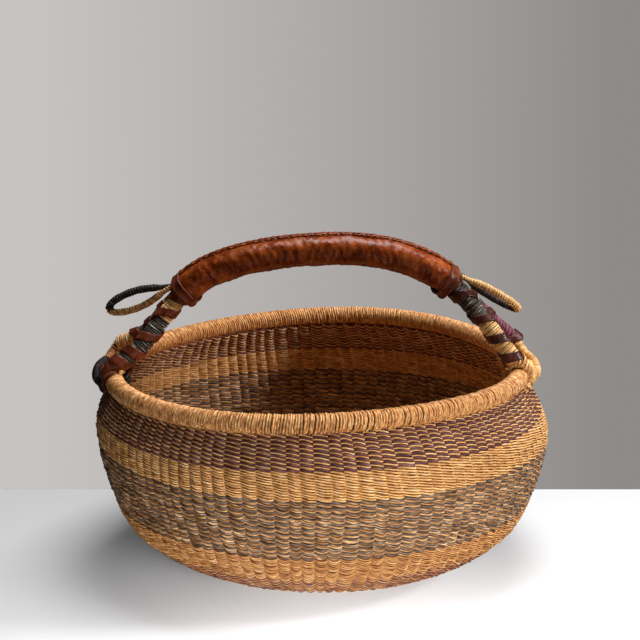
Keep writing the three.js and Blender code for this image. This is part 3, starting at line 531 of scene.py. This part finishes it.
def weave_striped(band, start, end, pitch, colour, dyed, plain, share, uneven, relief):
    """A band of dyed rows, which have the share of each pair's height, and plain rows between them."""
    middles, halves = lay_rows(start, end, pitch, share)
    dyed_rows, plain_rows = (twined_rows(middles[k::2], halves[k::2], uneven=uneven, relief=relief) for k in (0, 1))
    make_piece(f"{band}_{colour}_rows", [dyed_rows], dyed, band)
    make_piece(f"{band}_natural_rows", [plain_rows], plain, band)


def weave_plain(band, start, end, pitch, finish):
    """A band of rows that are all alike."""
    rows = twined_rows(*lay_rows(start, end, pitch), uneven=1.2, relief=1.3, plump=0.02)
    make_piece(f"{band}_rows", [rows], finish, band)


weave_striped("purple_band", "upper_top", "under_rim", 2.2, "purple", purple, natural,
              share=0.62, uneven=1.0, relief=1.05)
weave_plain("upper_plain_band", "grey_top", "upper_top", 2.45, natural)
weave_striped("grey_band", "lower_top", "grey_top", 2.7, "grey", grey, weathered,
              share=0.48, uneven=1.8, relief=0.85)
# The lower bands take the darker golden straw: partly a browner straw, partly painted shade for the lower wall, which
# is darker towards the base
weave_plain("lower_plain_band", "foot_top", "lower_top", 2.65, golden)
weave_striped("foot_band", "foot_curve", "foot_top", 2.75, "purple", purple, golden,
              share=0.55, uneven=1.2, relief=0.85)


def weave_base():
    """The base's rows in four rings, with more stakes from ring to ring outwards: 12, 24, 54 and all 108."""
    edges = (4.5, 20, 46, 108, WALL_STOPS["foot_curve"])
    grids = []
    for low, high, ribs, steps in zip(edges, edges[1:], (12, 24, 54, RIBS), (5, 4, 4, 4)):
        count = round((high - low) / BASE_PITCH)
        half = (high - low) / count / 2
        runs = low + half * (2 * np.arange(count) + 1)
        grids.append(twined_rows(runs, np.full(count, half * ROW_OVERLAP), ribs, steps, 5, relief=0.5))
    make_piece("base_mat_rows", grids, natural, "base_mat")


def set_stakes():
    """The stakes: flat straws in the middle of the wall that end in the rim, every second one starting near the
    base's centre and the rest further out, and a button of straw under the base's first rows. A stake's azimuth is
    its number less the drift there, found in five rounds."""
    grids = []
    section = ring_angles(6)
    for first, start in ((0, 20.0), (1, 104.0)):
        runs = np.linspace(start, WALL_STOPS["in_rim"], 44)[None, :, None]
        number = np.arange(first, RIBS, 2)[:, None, None]
        azimuth = number * TURN / RIBS + 0 * runs
        for _ in range(5):
            azimuth = (number - rib_drift(azimuth, runs)) * TURN / RIBS
        spacing = np.maximum(np.interp(runs, WALL_RUN, WALL_LINE[:, 0]), 1) * TURN / RIBS
        points = wall_point(runs + 0 * section, ROW_SHIFT * stitch_room(spacing) + 0.8 * np.cos(section),
                            azimuth - 0.5 * TURN / RIBS * np.sin(section))
        grids.append((points, runs[:, :, 0] / 10, False))
    radius, height = np.array([(0.3, 2.4), (22.0, 2.6), (23.0, 3.4), (22.0, 4.2), (0.3, 4.4)]).T[:, :, None]
    azimuth = ring_angles(40)
    button = np.stack([radius * np.cos(azimuth), radius * np.sin(azimuth), height + 0 * azimuth], -1)
    grids.append((button[None], np.linspace(0, 5, 5)[None], False))
    make_piece("stake_straws", grids, natural, "stakes")


weave_base()
set_stakes()


# Rim

def wrap_rim():
    """The overcast straw on the rim: one straw in a ring coil of 500 turns. At a share t of the way round, the
    rim's azimuth is 2 pi t and the straw stands at 2 pi x turns x t round the roll, leaning forward as it goes
    over the top. Its radius, width and lean change a little from turn to turn."""
    count = RIM_TURNS * TURN_STEPS
    t = np.arange(count) / count
    angle = -TURN * RIM_TURNS * t
    waves = [np.sin(TURN * n * t + rng.uniform(0, TURN)) for n in (37, 83, 131, 199, 227)]
    lean = (1.5 + 0.3 * waves[0] + 0.2 * waves[2]) * np.sin(angle + 0.5)
    jitter = 0.11 * waves[3] + 0.12 * waves[4] + 0.25 * waves[1]
    azimuth = TURN * t + (lean + jitter) / RIM_RADIUS
    roll = RIM_ROLL - 1.25 + 0.20 * waves[1] + 0.18 * waves[3] + 0.17 * waves[4]
    flat, away = round_rim(azimuth, angle)
    across = flat[:, [1, 0, 2]] * [-1, 1, 1]
    centre = flat * RIM_RADIUS + [0, 0, RIM_HEIGHT] + away * roll[:, None]
    width = 1.15 + 0.06 * waves[2] + 0.08 * waves[4]
    points, lay, closed = tube_grid(centre, away, across, 1.25, width, 6, closed=True)
    make_piece("rim_overcast", [(settle(points), lay, closed)], rim_straw, "rim_wrap")


wrap_rim()


# Handle

def splay(share):
    """A strand's distance from the handle's plane at a share of the reach. From the grip's mouths to the feet it
    grows as the 1.15th power of the way down the leg."""
    share = np.abs(share)
    inside = smoothstep(share, GRIP_SHARE - GRIP_EASE / ARCH_REACH, GRIP_SHARE)
    outside = np.clip((share - GRIP_SHARE) / (1 - GRIP_SHARE), 0, 1)
    return GRIP_SPREAD + (MOUTH_SPREAD - GRIP_SPREAD) * inside + (FOOT_SPREAD - MOUTH_SPREAD) * outside ** 1.15


def spread_at(centre):
    """The strands' distance from the handle's plane beside points of its middle line."""
    return splay((centre[..., 0] - RIM_SHIFT) / ARCH_REACH)


def strand_path(depth):
    """A strand's path, or for depth 0 the line midway: the arch's knots times its reach and rise, each depth x its
    splay from the handle's plane, between two feet that stand on the rim's roll."""
    feet = [rim_point(side, depth * FOOT_SPREAD, FOOT_ANGLES[depth], FOOT_DISTANCE)[0] for side in SIDE_NAMES]
    rise = [(RIM_SHIFT + reach * ARCH_REACH, depth * splay(reach), RIM_HEIGHT + height * ARCH_RISE)
            for reach, height in ARCH]
    return Path([feet[0], *rise, feet[1]])


strands = {depth: strand_path(depth) for depth in DEPTH_NAMES}
middle = strand_path(0)
MOUTH_X = {side: RIM_SHIFT + side * GRIP_SHARE * ARCH_REACH for side in SIDE_NAMES}
MOUTHS = {side: middle.where_x(x) for side, x in MOUTH_X.items()}


def wound_round(path, place, angle, height, width):
    """A straw wound round a path: at a place and a turn angle a it stands at up x height x cos a - sideways x width
    x sin a from the path, and faces square off that oval. Returns its centres, outward directions and the path's."""
    centre, along, up, sideways = path.at(place)
    c, s = np.cos(angle), np.sin(angle)
    away = up * (height * c)[:, None] - sideways * (width * s)[:, None]
    out = unit(up * (width * c)[:, None] - sideways * (height * s)[:, None])
    return centre + away, out, along


# A leg's straw, and the leather strip over it. The rings are distances from the strand's middle, and the tail is in
# turns. The strip's section has twelve points, at shares of its half width and of its thickness.

LEG_STRAW_PITCH = 2.2
LEG_STRAW_RING = 7.7
LEG_STRAW_HALVES = (0.6, 1.04)
LEG_STRAW_TUCK = 6
STRIP_RING = 8.3
STRIP_WIDTH = 9.6
STRIP_THICK = 1.4
STRIP_TAIL = 0.4
STRIP_ACROSS = np.array([-1, -0.94, -0.7, -0.35, 0, 0.35, 0.7, 0.94, 1, 0.6, 0, -0.6])
STRIP_LIFT = np.array([0.25, 0.85, 1.0, 0.96, 0.92, 0.96, 1.0, 0.85, 0.25, 0, 0, 0])


def wind_leg(path, start, end, side, seed):
    """A straw wound round a leg from start to end, one pitch a turn. It leans by 0.7 mm as it goes round, and its
    place, ring and width change a little from turn to turn."""
    turns = max(2, round(abs(end - start) / LEG_STRAW_PITCH))
    t = np.linspace(0, 1, turns * TURN_STEPS + 1)
    angle = TURN * turns * t
    local = np.random.default_rng(seed)
    wave = [np.sin(TURN * turns * f * t + local.uniform(0, TURN)) for f in (0.13, 0.29, 0.47)]
    place = lerp(start, end, t) + 0.7 * side * np.sin(angle + 0.6) + 0.10 * LEG_STRAW_PITCH * wave[2]
    ring = LEG_STRAW_RING * (1 + 0.03 * wave[0] + 0.02 * wave[1])
    centre, out, along = wound_round(path, place, angle, ring, ring)
    thick, wide = LEG_STRAW_HALVES
    return tube_grid(centre, out, along if end > start else -along, thick, wide * (1 + 0.12 * wave[1]), 5)


def leather_strip(path, crossings, side, seed):
    """A strip of leather wound down a leg. It passes the near side of the leg at each crossing's distance from the
    grip's mouth, and its angle round the leg runs evenly between them. Its section is a crowned lens with rolled
    edges, smaller at the strip's ends, and creased by three waves."""
    gaps = np.diff(crossings) * STRIP_TAIL
    knots = [crossings[0] - gaps[0], *crossings, crossings[-1] + gaps[-1]]
    turns = [-STRIP_TAIL, *range(len(crossings)), len(crossings) - 1 + STRIP_TAIL]
    count = 40 * len(crossings)
    distance = np.linspace(knots[0], knots[-1], count)
    angle = TURN * (np.interp(distance, knots, turns) - 0.25)
    centre, along, up, sideways = path.at(path.where_x(MOUTH_X[side]) + side * distance)
    out = up * np.cos(angle)[:, None] + sideways * np.sin(angle)[:, None]
    local = np.random.default_rng(seed)
    t = np.arange(count)[:, None]
    crease = sum(0.10 * np.sin(t * f + local.uniform(0, TURN) + 2.2 * STRIP_ACROSS) for f in (0.31, 0.57, 0.93))
    ends = smoothstep(t, 0, 5) * smoothstep(count - 1 - t, 0, 5)
    top = STRIP_RING + STRIP_THICK * STRIP_LIFT * (1 + crease * (STRIP_LIFT > 0.5)) * (0.4 + 0.6 * ends)
    half = STRIP_WIDTH / 2 * (1 + 0.07 * np.sin(t * 0.21 + seed)) * (0.55 + 0.45 * ends)
    points = (centre[:, None] + out[:, None] * top[..., None]
              + along[:, None] * (side * STRIP_ACROSS * half)[..., None])
    return facing_out(points, side)[None], distance[None] / 10, False


def facing_out(points, side):
    """On the left the sections run the other way round, so that the faces point outwards."""
    return points[:, ::-1] if side < 0 else points


def strip_over_rim(first, last):
    """A turn of the left near strip over the rim: flat on it, from 98 degrees round its roll to 66 degrees below
    straight outwards, while its spread goes from first to last."""
    t = np.linspace(0, 1, 30)
    centre, away = rim_point(-1, lerp(first, last, t), np.radians(lerp(98, -66, t)), RIM_ROLL + 1.9)
    across = unit(np.cross(np.gradient(centre, axis=0), away))
    return tube_grid(centre, away, across, 1.2, 4.9 - 0.6 * t, 8)


# Each leg by side and depth: where its strip crosses the near side, in mm from the grip's mouth, the colour of its
# upper straw, where that ends, and the colour of its lower straw

LEGS = {
    (-1, -1): ((1.5, 19.5, 49, 69, 84), "natural", 27, "grey"),
    (-1, 1): ((-2, 19, 43, 65), "grey", 67, "natural"),
    (1, -1): ((-2, 10.6, 41.6, 64.6, 86), "grey", 44, "natural"),
    (1, 1): ((-2, 19, 43, 88), "grey", 40, "purple"),
}
LEG_STRAWS = {"natural": pale, "grey": slate, "purple": magenta}


def bind_legs():
    """Each leg's windings of straw in their colours, with the leather strip over them."""
    for number, ((side, depth), (crossings, upper, change, lower)) in enumerate(LEGS.items()):
        path = strands[depth]
        mouth = path.where_x(MOUTH_X[side])
        top, change, foot = mouth - side * LEG_STRAW_TUCK, mouth + side * change, 0 if side < 0 else path.length
        leg = f"{SIDE_NAMES[side]}_{DEPTH_NAMES[depth]}_leg"
        for k, (part, colour, start, end) in enumerate((("upper", upper, top, change), ("lower", lower, change, foot))):
            make_piece(f"{leg}_{colour}_winding_{k + 1}", [wind_leg(path, start, end, side, 10 * number + k)],
                       LEG_STRAWS[colour], f"{leg}_{part}_straw")
        strips = [leather_strip(path, crossings, side, number)]
        if leg == "left_near_leg":
            strips += [strip_over_rim(-37, -33), strip_over_rim(-46, -41)]
        make_piece(f"{leg}_leather_strip", strips, worn_leather if side < 0 else dark_leather, f"{leg}_strap")


bind_legs()


# Grip: how far the leather's inside lies beyond the strands, the powers that flatten its outline, the lips that are
# turned in at its mouths (shares of the outline, depths), and a collar's section (places along the grip, heights)

GRIP_HALF_WIDTH = 8.95
GRIP_HALF_HEIGHT = 12.75
POWER_UP = 0.80
POWER_ASIDE = 0.86
LEATHER_THICK = 1.8
LACE_PITCH = 11.4
LIP_SHARES = np.array([0.93, 0.88, 0.86])
LIP_DEPTHS = np.array([1.2, 3.0, 9.0])
COLLAR_SECTION = np.array([
    (-4.6, 0.1), (-4.5, 1.5), (-3.6, 1.95), (-2.7, 1.45), (0, 1.35), (2.7, 1.45), (3.6, 1.95), (4.5, 1.5), (4.6, 0.1),
    (0, 0)])


def grip_section(angle, spread, grow, tuck=0.0):
    """The grip's outline round its two strands, from its top towards the front, grown outwards: half height x
    |cos a|^0.80 up, with the underside tucked up, and (spread + half width) x |sin a|^0.86 aside."""
    c, s = np.cos(angle), np.sin(angle)
    up = (GRIP_HALF_HEIGHT + grow) * np.sign(c) * np.abs(c) ** POWER_UP + tuck * np.maximum(-c, 0) ** 3
    return up, (spread + GRIP_HALF_WIDTH + grow) * np.sign(s) * np.abs(s) ** POWER_ASIDE


def grip_creases(distance, angle):
    """Creases of the leather: waves that run over the grip in all directions, each a whole number of times round.
    20 long ones, 12 to 50 mm, are plain sines, and 16 short ones, 5 to 16 mm, are 1 - 2 |sin|^0.6, which is round
    on top and sharp in the fold. Each short one fades in and out along the grip."""
    local = np.random.default_rng(5)
    total = 0
    for number in range(36):
        sharp = number >= 20
        length = local.uniform(5, 16) if sharp else local.uniform(12, 50)
        rounds = local.integers(-9, 10) if sharp else local.integers(-5, 6)
        phase = TURN * distance / length + rounds * angle + local.uniform(0, TURN)
        fade = 0.5 + 0.5 * np.sin(TURN * distance / local.uniform(40, 90) + angle + local.uniform(0, TURN))
        if sharp:
            total = total + 0.12 * fade ** 2 * (1 - 2 * np.abs(np.sin(phase / 2)) ** 0.6)
        else:
            total = total + (0.025 + 0.0016 * length) * np.sin(phase)
    return total


def cover_grip():
    """The leather of the grip: the section above carried from mouth to mouth and turned in there, with creases and
    a groove under the seam. Near the mouths its underside is tucked up and its girth is less."""
    distance = np.linspace(MOUTHS[-1], MOUTHS[1], 300)
    angle = ring_angles(96)
    centre, along, up, sideways = middle.at(distance)
    from_left, from_right = (distance - MOUTHS[-1])[:, None], (MOUTHS[1] - distance)[:, None]
    from_mouth = np.minimum(from_left, from_right)
    tuck = 3.2 * np.exp(-((from_right - 7) / 9) ** 2) + 2.2 * np.exp(-((from_left - 5) / 7) ** 2)
    crease = grip_creases(distance[:, None], angle) * np.clip(from_mouth / 8, 0.3, 1)
    groove = 0.9 * np.exp(-((np.abs(np.sin(angle / 2)) / 0.085) ** 2))
    scale = (1 - 0.05 * np.exp(-(from_mouth / 2.5) ** 2)) * (1 + (crease - groove) / 16)
    rise, aside = (v * scale for v in grip_section(angle, spread_at(centre)[:, None], LEATHER_THICK, tuck))
    outline = up[:, None] * rise[..., None] + sideways[:, None] * aside[..., None]

    def turned_in(k, inwards):
        """The lip at one end of the grip."""
        return centre[k] + outline[k] * LIP_SHARES[:, None, None] + inwards * (along[k] * LIP_DEPTHS[:, None])[:, None]

    points = np.concatenate([turned_in(0, 1)[::-1], centre[:, None] + outline, turned_in(-1, -1)])
    lay = np.concatenate([distance[0] - np.arange(3, 0, -1), distance, distance[-1] + np.arange(1, 4)]) / 10
    make_piece("grip_cover", [(points[None], lay[None], False)], leather, "grip_leather")


def top_of_grip(distance, aside):
    """Points on the leather along the seam, aside from the handle's plane, with up and sideways there. With s as
    (|aside| / half width)^(1 / 0.86), they rise by half height x (1 - s^2)^0.4, as the outline does."""
    centre, _, up, sideways = middle.at(distance)
    half_width = spread_at(centre) + GRIP_HALF_WIDTH + LEATHER_THICK
    s = np.clip(np.abs(aside) / half_width, 0, 0.98) ** (1 / POWER_ASIDE)
    rise = (GRIP_HALF_HEIGHT + LEATHER_THICK) * np.sqrt(1 - s ** 2) ** POWER_UP
    return centre + up * rise[:, None] + sideways * aside[:, None], up, sideways


def lace_seam():
    """The seam along the top: two rolled edges of the leather, scalloped where the lace pulls them, and the flat
    lace that zigzags over them in long slanting stitches."""
    start, end = MOUTHS[-1], MOUTHS[1]
    distance = np.linspace(start + 11, end - 11, 400)
    scallop = np.sin(TURN * distance / LACE_PITCH)
    edges, stitches = [], []
    for hand in (-1, 1):
        aside = 3.1 * hand + 0.8 * scallop + 0.5 * np.sin(distance * 0.11)
        centre, up, sideways = top_of_grip(distance, aside)
        lift = 0.35 + 0.55 * np.abs(scallop)
        edges.append(tube_grid(centre + up * lift[:, None], up, sideways, 1.0, 1.7, 8))
    t = np.linspace(0, 1, 9)
    for k in range(int((end - start - 24) / LACE_PITCH)):
        centre, up, _ = top_of_grip(start + 12 + LACE_PITCH * (k + 0.15 + 0.85 * t), 5.6 * (1 - 2 * t))
        centre = centre + up * (1.9 * np.sin(math.pi * t) - 0.6)[:, None]
        run = unit(np.gradient(centre, axis=0))
        across = unit(np.cross(run, up))
        stitches.append(tube_grid(centre, np.cross(across, run), across, 0.55, 1.5, 8))
    make_piece("seam_edges", edges, leather, "seam_lace")
    make_piece("seam_lace_stitches", stitches, worn_leather, "seam_lace")


def put_collar(side):
    """A strip of leather round the grip's mouth, 7.4 mm in and a little askew, with a raised edge on each side."""
    angle = ring_angles(64)[:, None]
    along_grip, height = COLLAR_SECTION.T
    skew = 2.6 * np.sin(angle + 0.4) + 0.4 * np.sin(3 * angle)
    centre, _, up, sideways = middle.at(MOUTHS[side] - side * (7.4 + skew + along_grip))
    rise, aside = grip_section(angle, spread_at(centre), 2.1 + height + 0.25 * np.sin(5 * angle))
    points = centre + up * rise[..., None] + sideways * aside[..., None]
    name = f"{SIDE_NAMES[side]}_collar"
    lay = np.arange(64) * 0.15
    make_piece(f"{name}_strip", [(facing_out(points, side)[None], lay[None], True)], worn_leather, name)


cover_grip()
lace_seam()
put_collar(-1)
put_collar(1)


# Lashings: cords that run on from the legs' feet, over the rim and back in under it. The far one is lifted where it
# crosses the near one, and the root is the half height and half width at the foot.

LASH_INNER_SPREAD = 33.2
LASH_DISTANCES = {-1: 11.1, 1: 11.3}
LASH_LIFT = 4.8
LASH_PITCH = 3.0
LASH_ROOT = 6.2
LASH_HALF_HEIGHTS = {-1: 2.6, 1: 3.5}
LASH_HALF_WIDTH = 5.0


def lashing(side, depth):
    """A lashing's name, its path, 90 distances along it, and its half height and half width there. Its angle round
    the rim falls from the foot's to -205 degrees, and it changes over to the other leg's side between 56 and -54
    degrees. Its section eases from the root's to its own between 8 and 30 mm."""
    foot_angle = FOOT_ANGLES[depth]
    angle = np.linspace(foot_angle - radians(24), radians(-205), 16)
    cross = smoothstep(angle, radians(-54), radians(56))
    spread = depth * lerp(-LASH_INNER_SPREAD, FOOT_SPREAD, cross)
    over = LASH_LIFT * np.clip(1.85 * (1 - np.abs(spread) / 24), 0, 1) if depth > 0 else 0
    hang = 1.2 * np.maximum(0, -np.sin(angle))
    leave = smoothstep(angle, radians(54), foot_angle)
    points, away = rim_point(side, spread, angle, lerp(LASH_DISTANCES[depth] + over + hang, FOOT_DISTANCE, leave))
    leg = strands[depth]
    foot, along, up, _ = leg.at(leg.length if side > 0 else 0)
    path = Path(np.vstack([foot - along * side * 5, foot, points]), 12, np.vstack([up, up, away]))
    distance = np.linspace(0, path.length, 90)
    ease = smoothstep(distance, 8, 30)
    return (f"{SIDE_NAMES[side]}_{DEPTH_NAMES[depth]}_lashing", path, distance,
            lerp(LASH_ROOT, LASH_HALF_HEIGHTS[depth], ease), lerp(LASH_ROOT, LASH_HALF_WIDTH, ease))


def lash_with_straw(side, depth, material, golden_share=0):
    """A core with straw wound round it, of which the first share is golden, a darker straw that is partly painted
    shade.
    """
    name, path, distance, height, width = lashing(side, depth)
    centre, _, up, sideways = path.at(distance)
    core = tube_grid(centre, up, sideways, height - 1.1, width - 1.1, 10)
    turns = int(path.length / LASH_PITCH)
    t = np.linspace(0, 1, turns * TURN_STEPS + 1)
    angle = TURN * turns * t
    place = t * path.length + 0.8 * np.sin(angle)
    straw = wound_round(path, place, angle, *(np.interp(place, distance, v) for v in (height, width)))
    split = int(golden_share * turns) * TURN_STEPS
    first, rest = (tube_grid(*(v[part] for v in straw), 1.25, 1.22, 6)
                   for part in (slice(split + 1), slice(split, None)))
    if split:
        make_piece(f"{name}_golden_winding", [first], golden, name)
    make_piece(f"{name}_cord", [core, rest], material, name)


def lash_with_leather(side, depth):
    """A strip of leather folded to a cord: the lashing's oval times 1 + two waves that run round and along it."""
    name, path, distance, height, width = lashing(side, depth)
    centre, _, up, sideways = path.at(distance)
    angle = ring_angles(20)
    fold = 1 + 0.06 * np.sin(3 * angle + 0.09 * distance[:, None]) + 0.05 * np.sin(2 * angle - 0.21 * distance[:, None])
    points = (centre[:, None] + up[:, None] * ((height * 1.05)[:, None] * np.cos(angle) * fold)[..., None]
              + sideways[:, None] * ((width * 1.1)[:, None] * np.sin(angle) * fold)[..., None])
    make_piece(f"{name}_cord", [(points[None], distance[None] / 10, False)], worn_leather, name)


lash_with_leather(-1, -1)
# Painted shade: the golden share is natural straw given the darker golden straw, where this far lashing is lit less
lash_with_straw(-1, 1, dark, golden_share=0.27)
lash_with_straw(1, -1, pale)
lash_with_straw(1, 1, pale)


# Small loops: stiff cords wound with fine straw, hinged at the grip's mouths. They droop from level and roll from
# upright, and a cord passes the shares of their length and half height one after the other.

PIVOTS = {-1: np.array([-145.086, 0, 261.806]), 1: np.array([131.239, 0, 271.952])}
LOOP_DROOPS = {-1: radians(20.5), 1: radians(30.5)}
LOOP_ROLLS = {-1: 0, 1: radians(121)}
LOOP_LENGTH = 62
LOOP_HALF_HEIGHT = 8.2
LOOP_SHARES = ((0.12, 0.38), (0.26, 0.62), (0.42, 0.9), (0.6, 1), (0.8, 0.86), (0.94, 0.5))
LOOP_PITCH = 2.5


def loop_half(side, hand, thickness, kind, material):
    """One cord of a loop: it leaves the pivot, spreads to half the loop's height at 0.6 of its length, and comes
    back to the middle at the tip. The loop's plane turns from level at the root to its roll at 0.26 of its length."""
    droop, roll = LOOP_DROOPS[side], LOOP_ROLLS[side]
    along = np.array([side * math.cos(droop), 0, -math.sin(droop)])
    level = np.array([0, 1.0, 0])
    upright = np.array([side * math.sin(droop), 0, math.cos(droop)])

    def point_at(reach, apart):
        """The pivot + along x reach + across x apart, where across turns from level to the roll."""
        twist = (TURN / 4 - roll) * smoothstep(reach, 0, 0.26)
        across = level * np.cos(twist) + upright * np.sin(twist)
        return PIVOTS[side] + along * reach * LOOP_LENGTH + across * hand * apart

    knots = [point_at(-0.02, 2.6), *(point_at(reach, apart * LOOP_HALF_HEIGHT) for reach, apart in LOOP_SHARES),
             point_at(1, -0.3)]
    path = Path(knots, 16, [upright * math.sin(roll) - level * math.cos(roll)])
    distance = np.linspace(0, path.length, 60)
    radius = lerp(2.4, thickness / 2, smoothstep(distance / path.length, 0.05, 0.3))
    centre, _, up, sideways = path.at(distance)
    core = tube_grid(centre, up, sideways, radius - 0.25, radius - 0.25, 12)
    turns = int(path.length / LOOP_PITCH)
    t = np.linspace(0, 1, turns * 12 + 1)
    angle = TURN * turns * t
    place = t * path.length + 0.35 * np.sin(angle)
    ring = (np.interp(place, distance, radius) - 0.28) * (1 + 0.05 * np.sin(TURN * turns * 0.21 * t))
    straw = tube_grid(*wound_round(path, place, angle, ring, ring), 0.42, 1.20, 6)
    body = f"{SIDE_NAMES[side]}_loop"
    make_piece(f"{body}_{kind}_cord", [core, straw], material, f"{body}_{kind}", body=body)


loop_half(-1, 1, 7.2, "dark", dark)
loop_half(-1, -1, 6.8, "natural", natural)
loop_half(1, -1, 7.2, "natural", pale)
loop_half(1, 1, 6.6, "dark", dark)

for node in ("near_strand_core", "far_strand_core", "rim_core", "left_loop_root", "right_loop_root"):
    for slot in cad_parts[node].material_slots:
        slot.material = bundle


# Table, lights and room, in metres and watts

def set_table():
    """A pale table top, 1.8 m wide, whose back edge is 168 mm behind the basket's centre. It throws back less light
    than it shows, so that the basket's underside stays dark."""
    top = Nodes(bpy.data.materials.new("pale_table"))
    seen = top.add("ShaderNodeLightPath", "Is Camera Ray", {})
    material = top.shade({
        "Roughness": 0.6, "Base Color": top.ramp(seen, ((0, 0.12, 0.115, 0.11), (1, 0.66, 0.66, 0.67)))})
    half, front, back, underside, face = 0.9, -1, 0.168, -0.024, -0.0002
    corners = [(x, y, z) for z in (underside, face)
               for x, y in ((-half, front), (half, front), (half, back), (-half, back))]
    sides = [[3, 2, 1, 0], [4, 5, 6, 7], [0, 1, 5, 4], [1, 2, 6, 5], [2, 3, 7, 6], [3, 0, 4, 7]]
    mesh = bpy.data.meshes.new("table_top")
    mesh.from_pydata(corners, [], sides)
    mesh.materials.append(material)
    table = stand("table_top", mesh)
    return table


def set_lamp(name, kind, place, aim, **settings):
    """A lamp at a place, turned to the point at the height aim over the basket's middle."""
    data = bpy.data.lights.new(name, kind)
    for setting, value in settings.items():
        setattr(data, setting, value)
    lamp = stand(name, data)
    lamp.location = place
    x, y, z = np.array([0, 0, aim]) - np.array(place)
    lamp.rotation_euler = (math.atan2(math.hypot(x, y), -z), 0, math.atan2(y, x) - math.pi / 2)
    return lamp


def set_lights(table):
    """A soft key from the right, a soft light overhead, a low one in front that leaves the inside dark, and a
    fill that falls on the table alone, in front of the basket."""
    set_lamp("right_key", "AREA", (1.69, -0.33, 0.94), 0.13, energy=24.5, size=0.30)
    set_lamp("overhead_soft", "AREA", (0.25, 0.42, 1.92), 0.13, energy=38, size=1.1)
    set_lamp("low_front", "SPOT", (0.27, -1.83, 0.12), -0.15, energy=92, spot_size=radians(23.4),
             spot_blend=0.25, shadow_soft_size=0.10)
    fill = set_lamp("table_fill", "AREA", (0.10, -0.46, 0.08), 0, energy=6, shape="RECTANGLE", size=0.4, size_y=0.06)
    lit = bpy.data.collections.new("lit_by_table_fill")
    lit.objects.link(table)
    fill.light_linking.receiver_collection = lit
    fill.visible_camera = False


def set_room():
    """The room: a faint even light, seen straight on as a grey wall that is paler towards the left."""
    world = bpy.data.worlds.new("room")
    room = Nodes(world)
    place = room.add("ShaderNodeTexCoord", "Generated", {})
    across = room.spread(room.add("ShaderNodeSeparateXYZ", "X", {"Vector": place}), 0, 1, -0.16, 0.17)
    wall = room.nodes["Background"]
    room.feed(wall, {"Color": room.ramp(across, ((0, 0.56, 0.54, 0.53), (1, 0.27, 0.255, 0.245)))})
    faint = room.add("ShaderNodeBackground", "Background", {"Color": (1, 0.97, 0.93, 1), "Strength": 0.038})
    seen = room.add("ShaderNodeLightPath", "Is Camera Ray", {})
    room.feed(room.nodes["World Output"], {"Surface": room.add(
        "ShaderNodeMixShader", "Shader", {0: seen, 1: faint, 2: wall.outputs["Background"]})})
    bpy.context.scene.world = world


set_lights(set_table())
set_room()
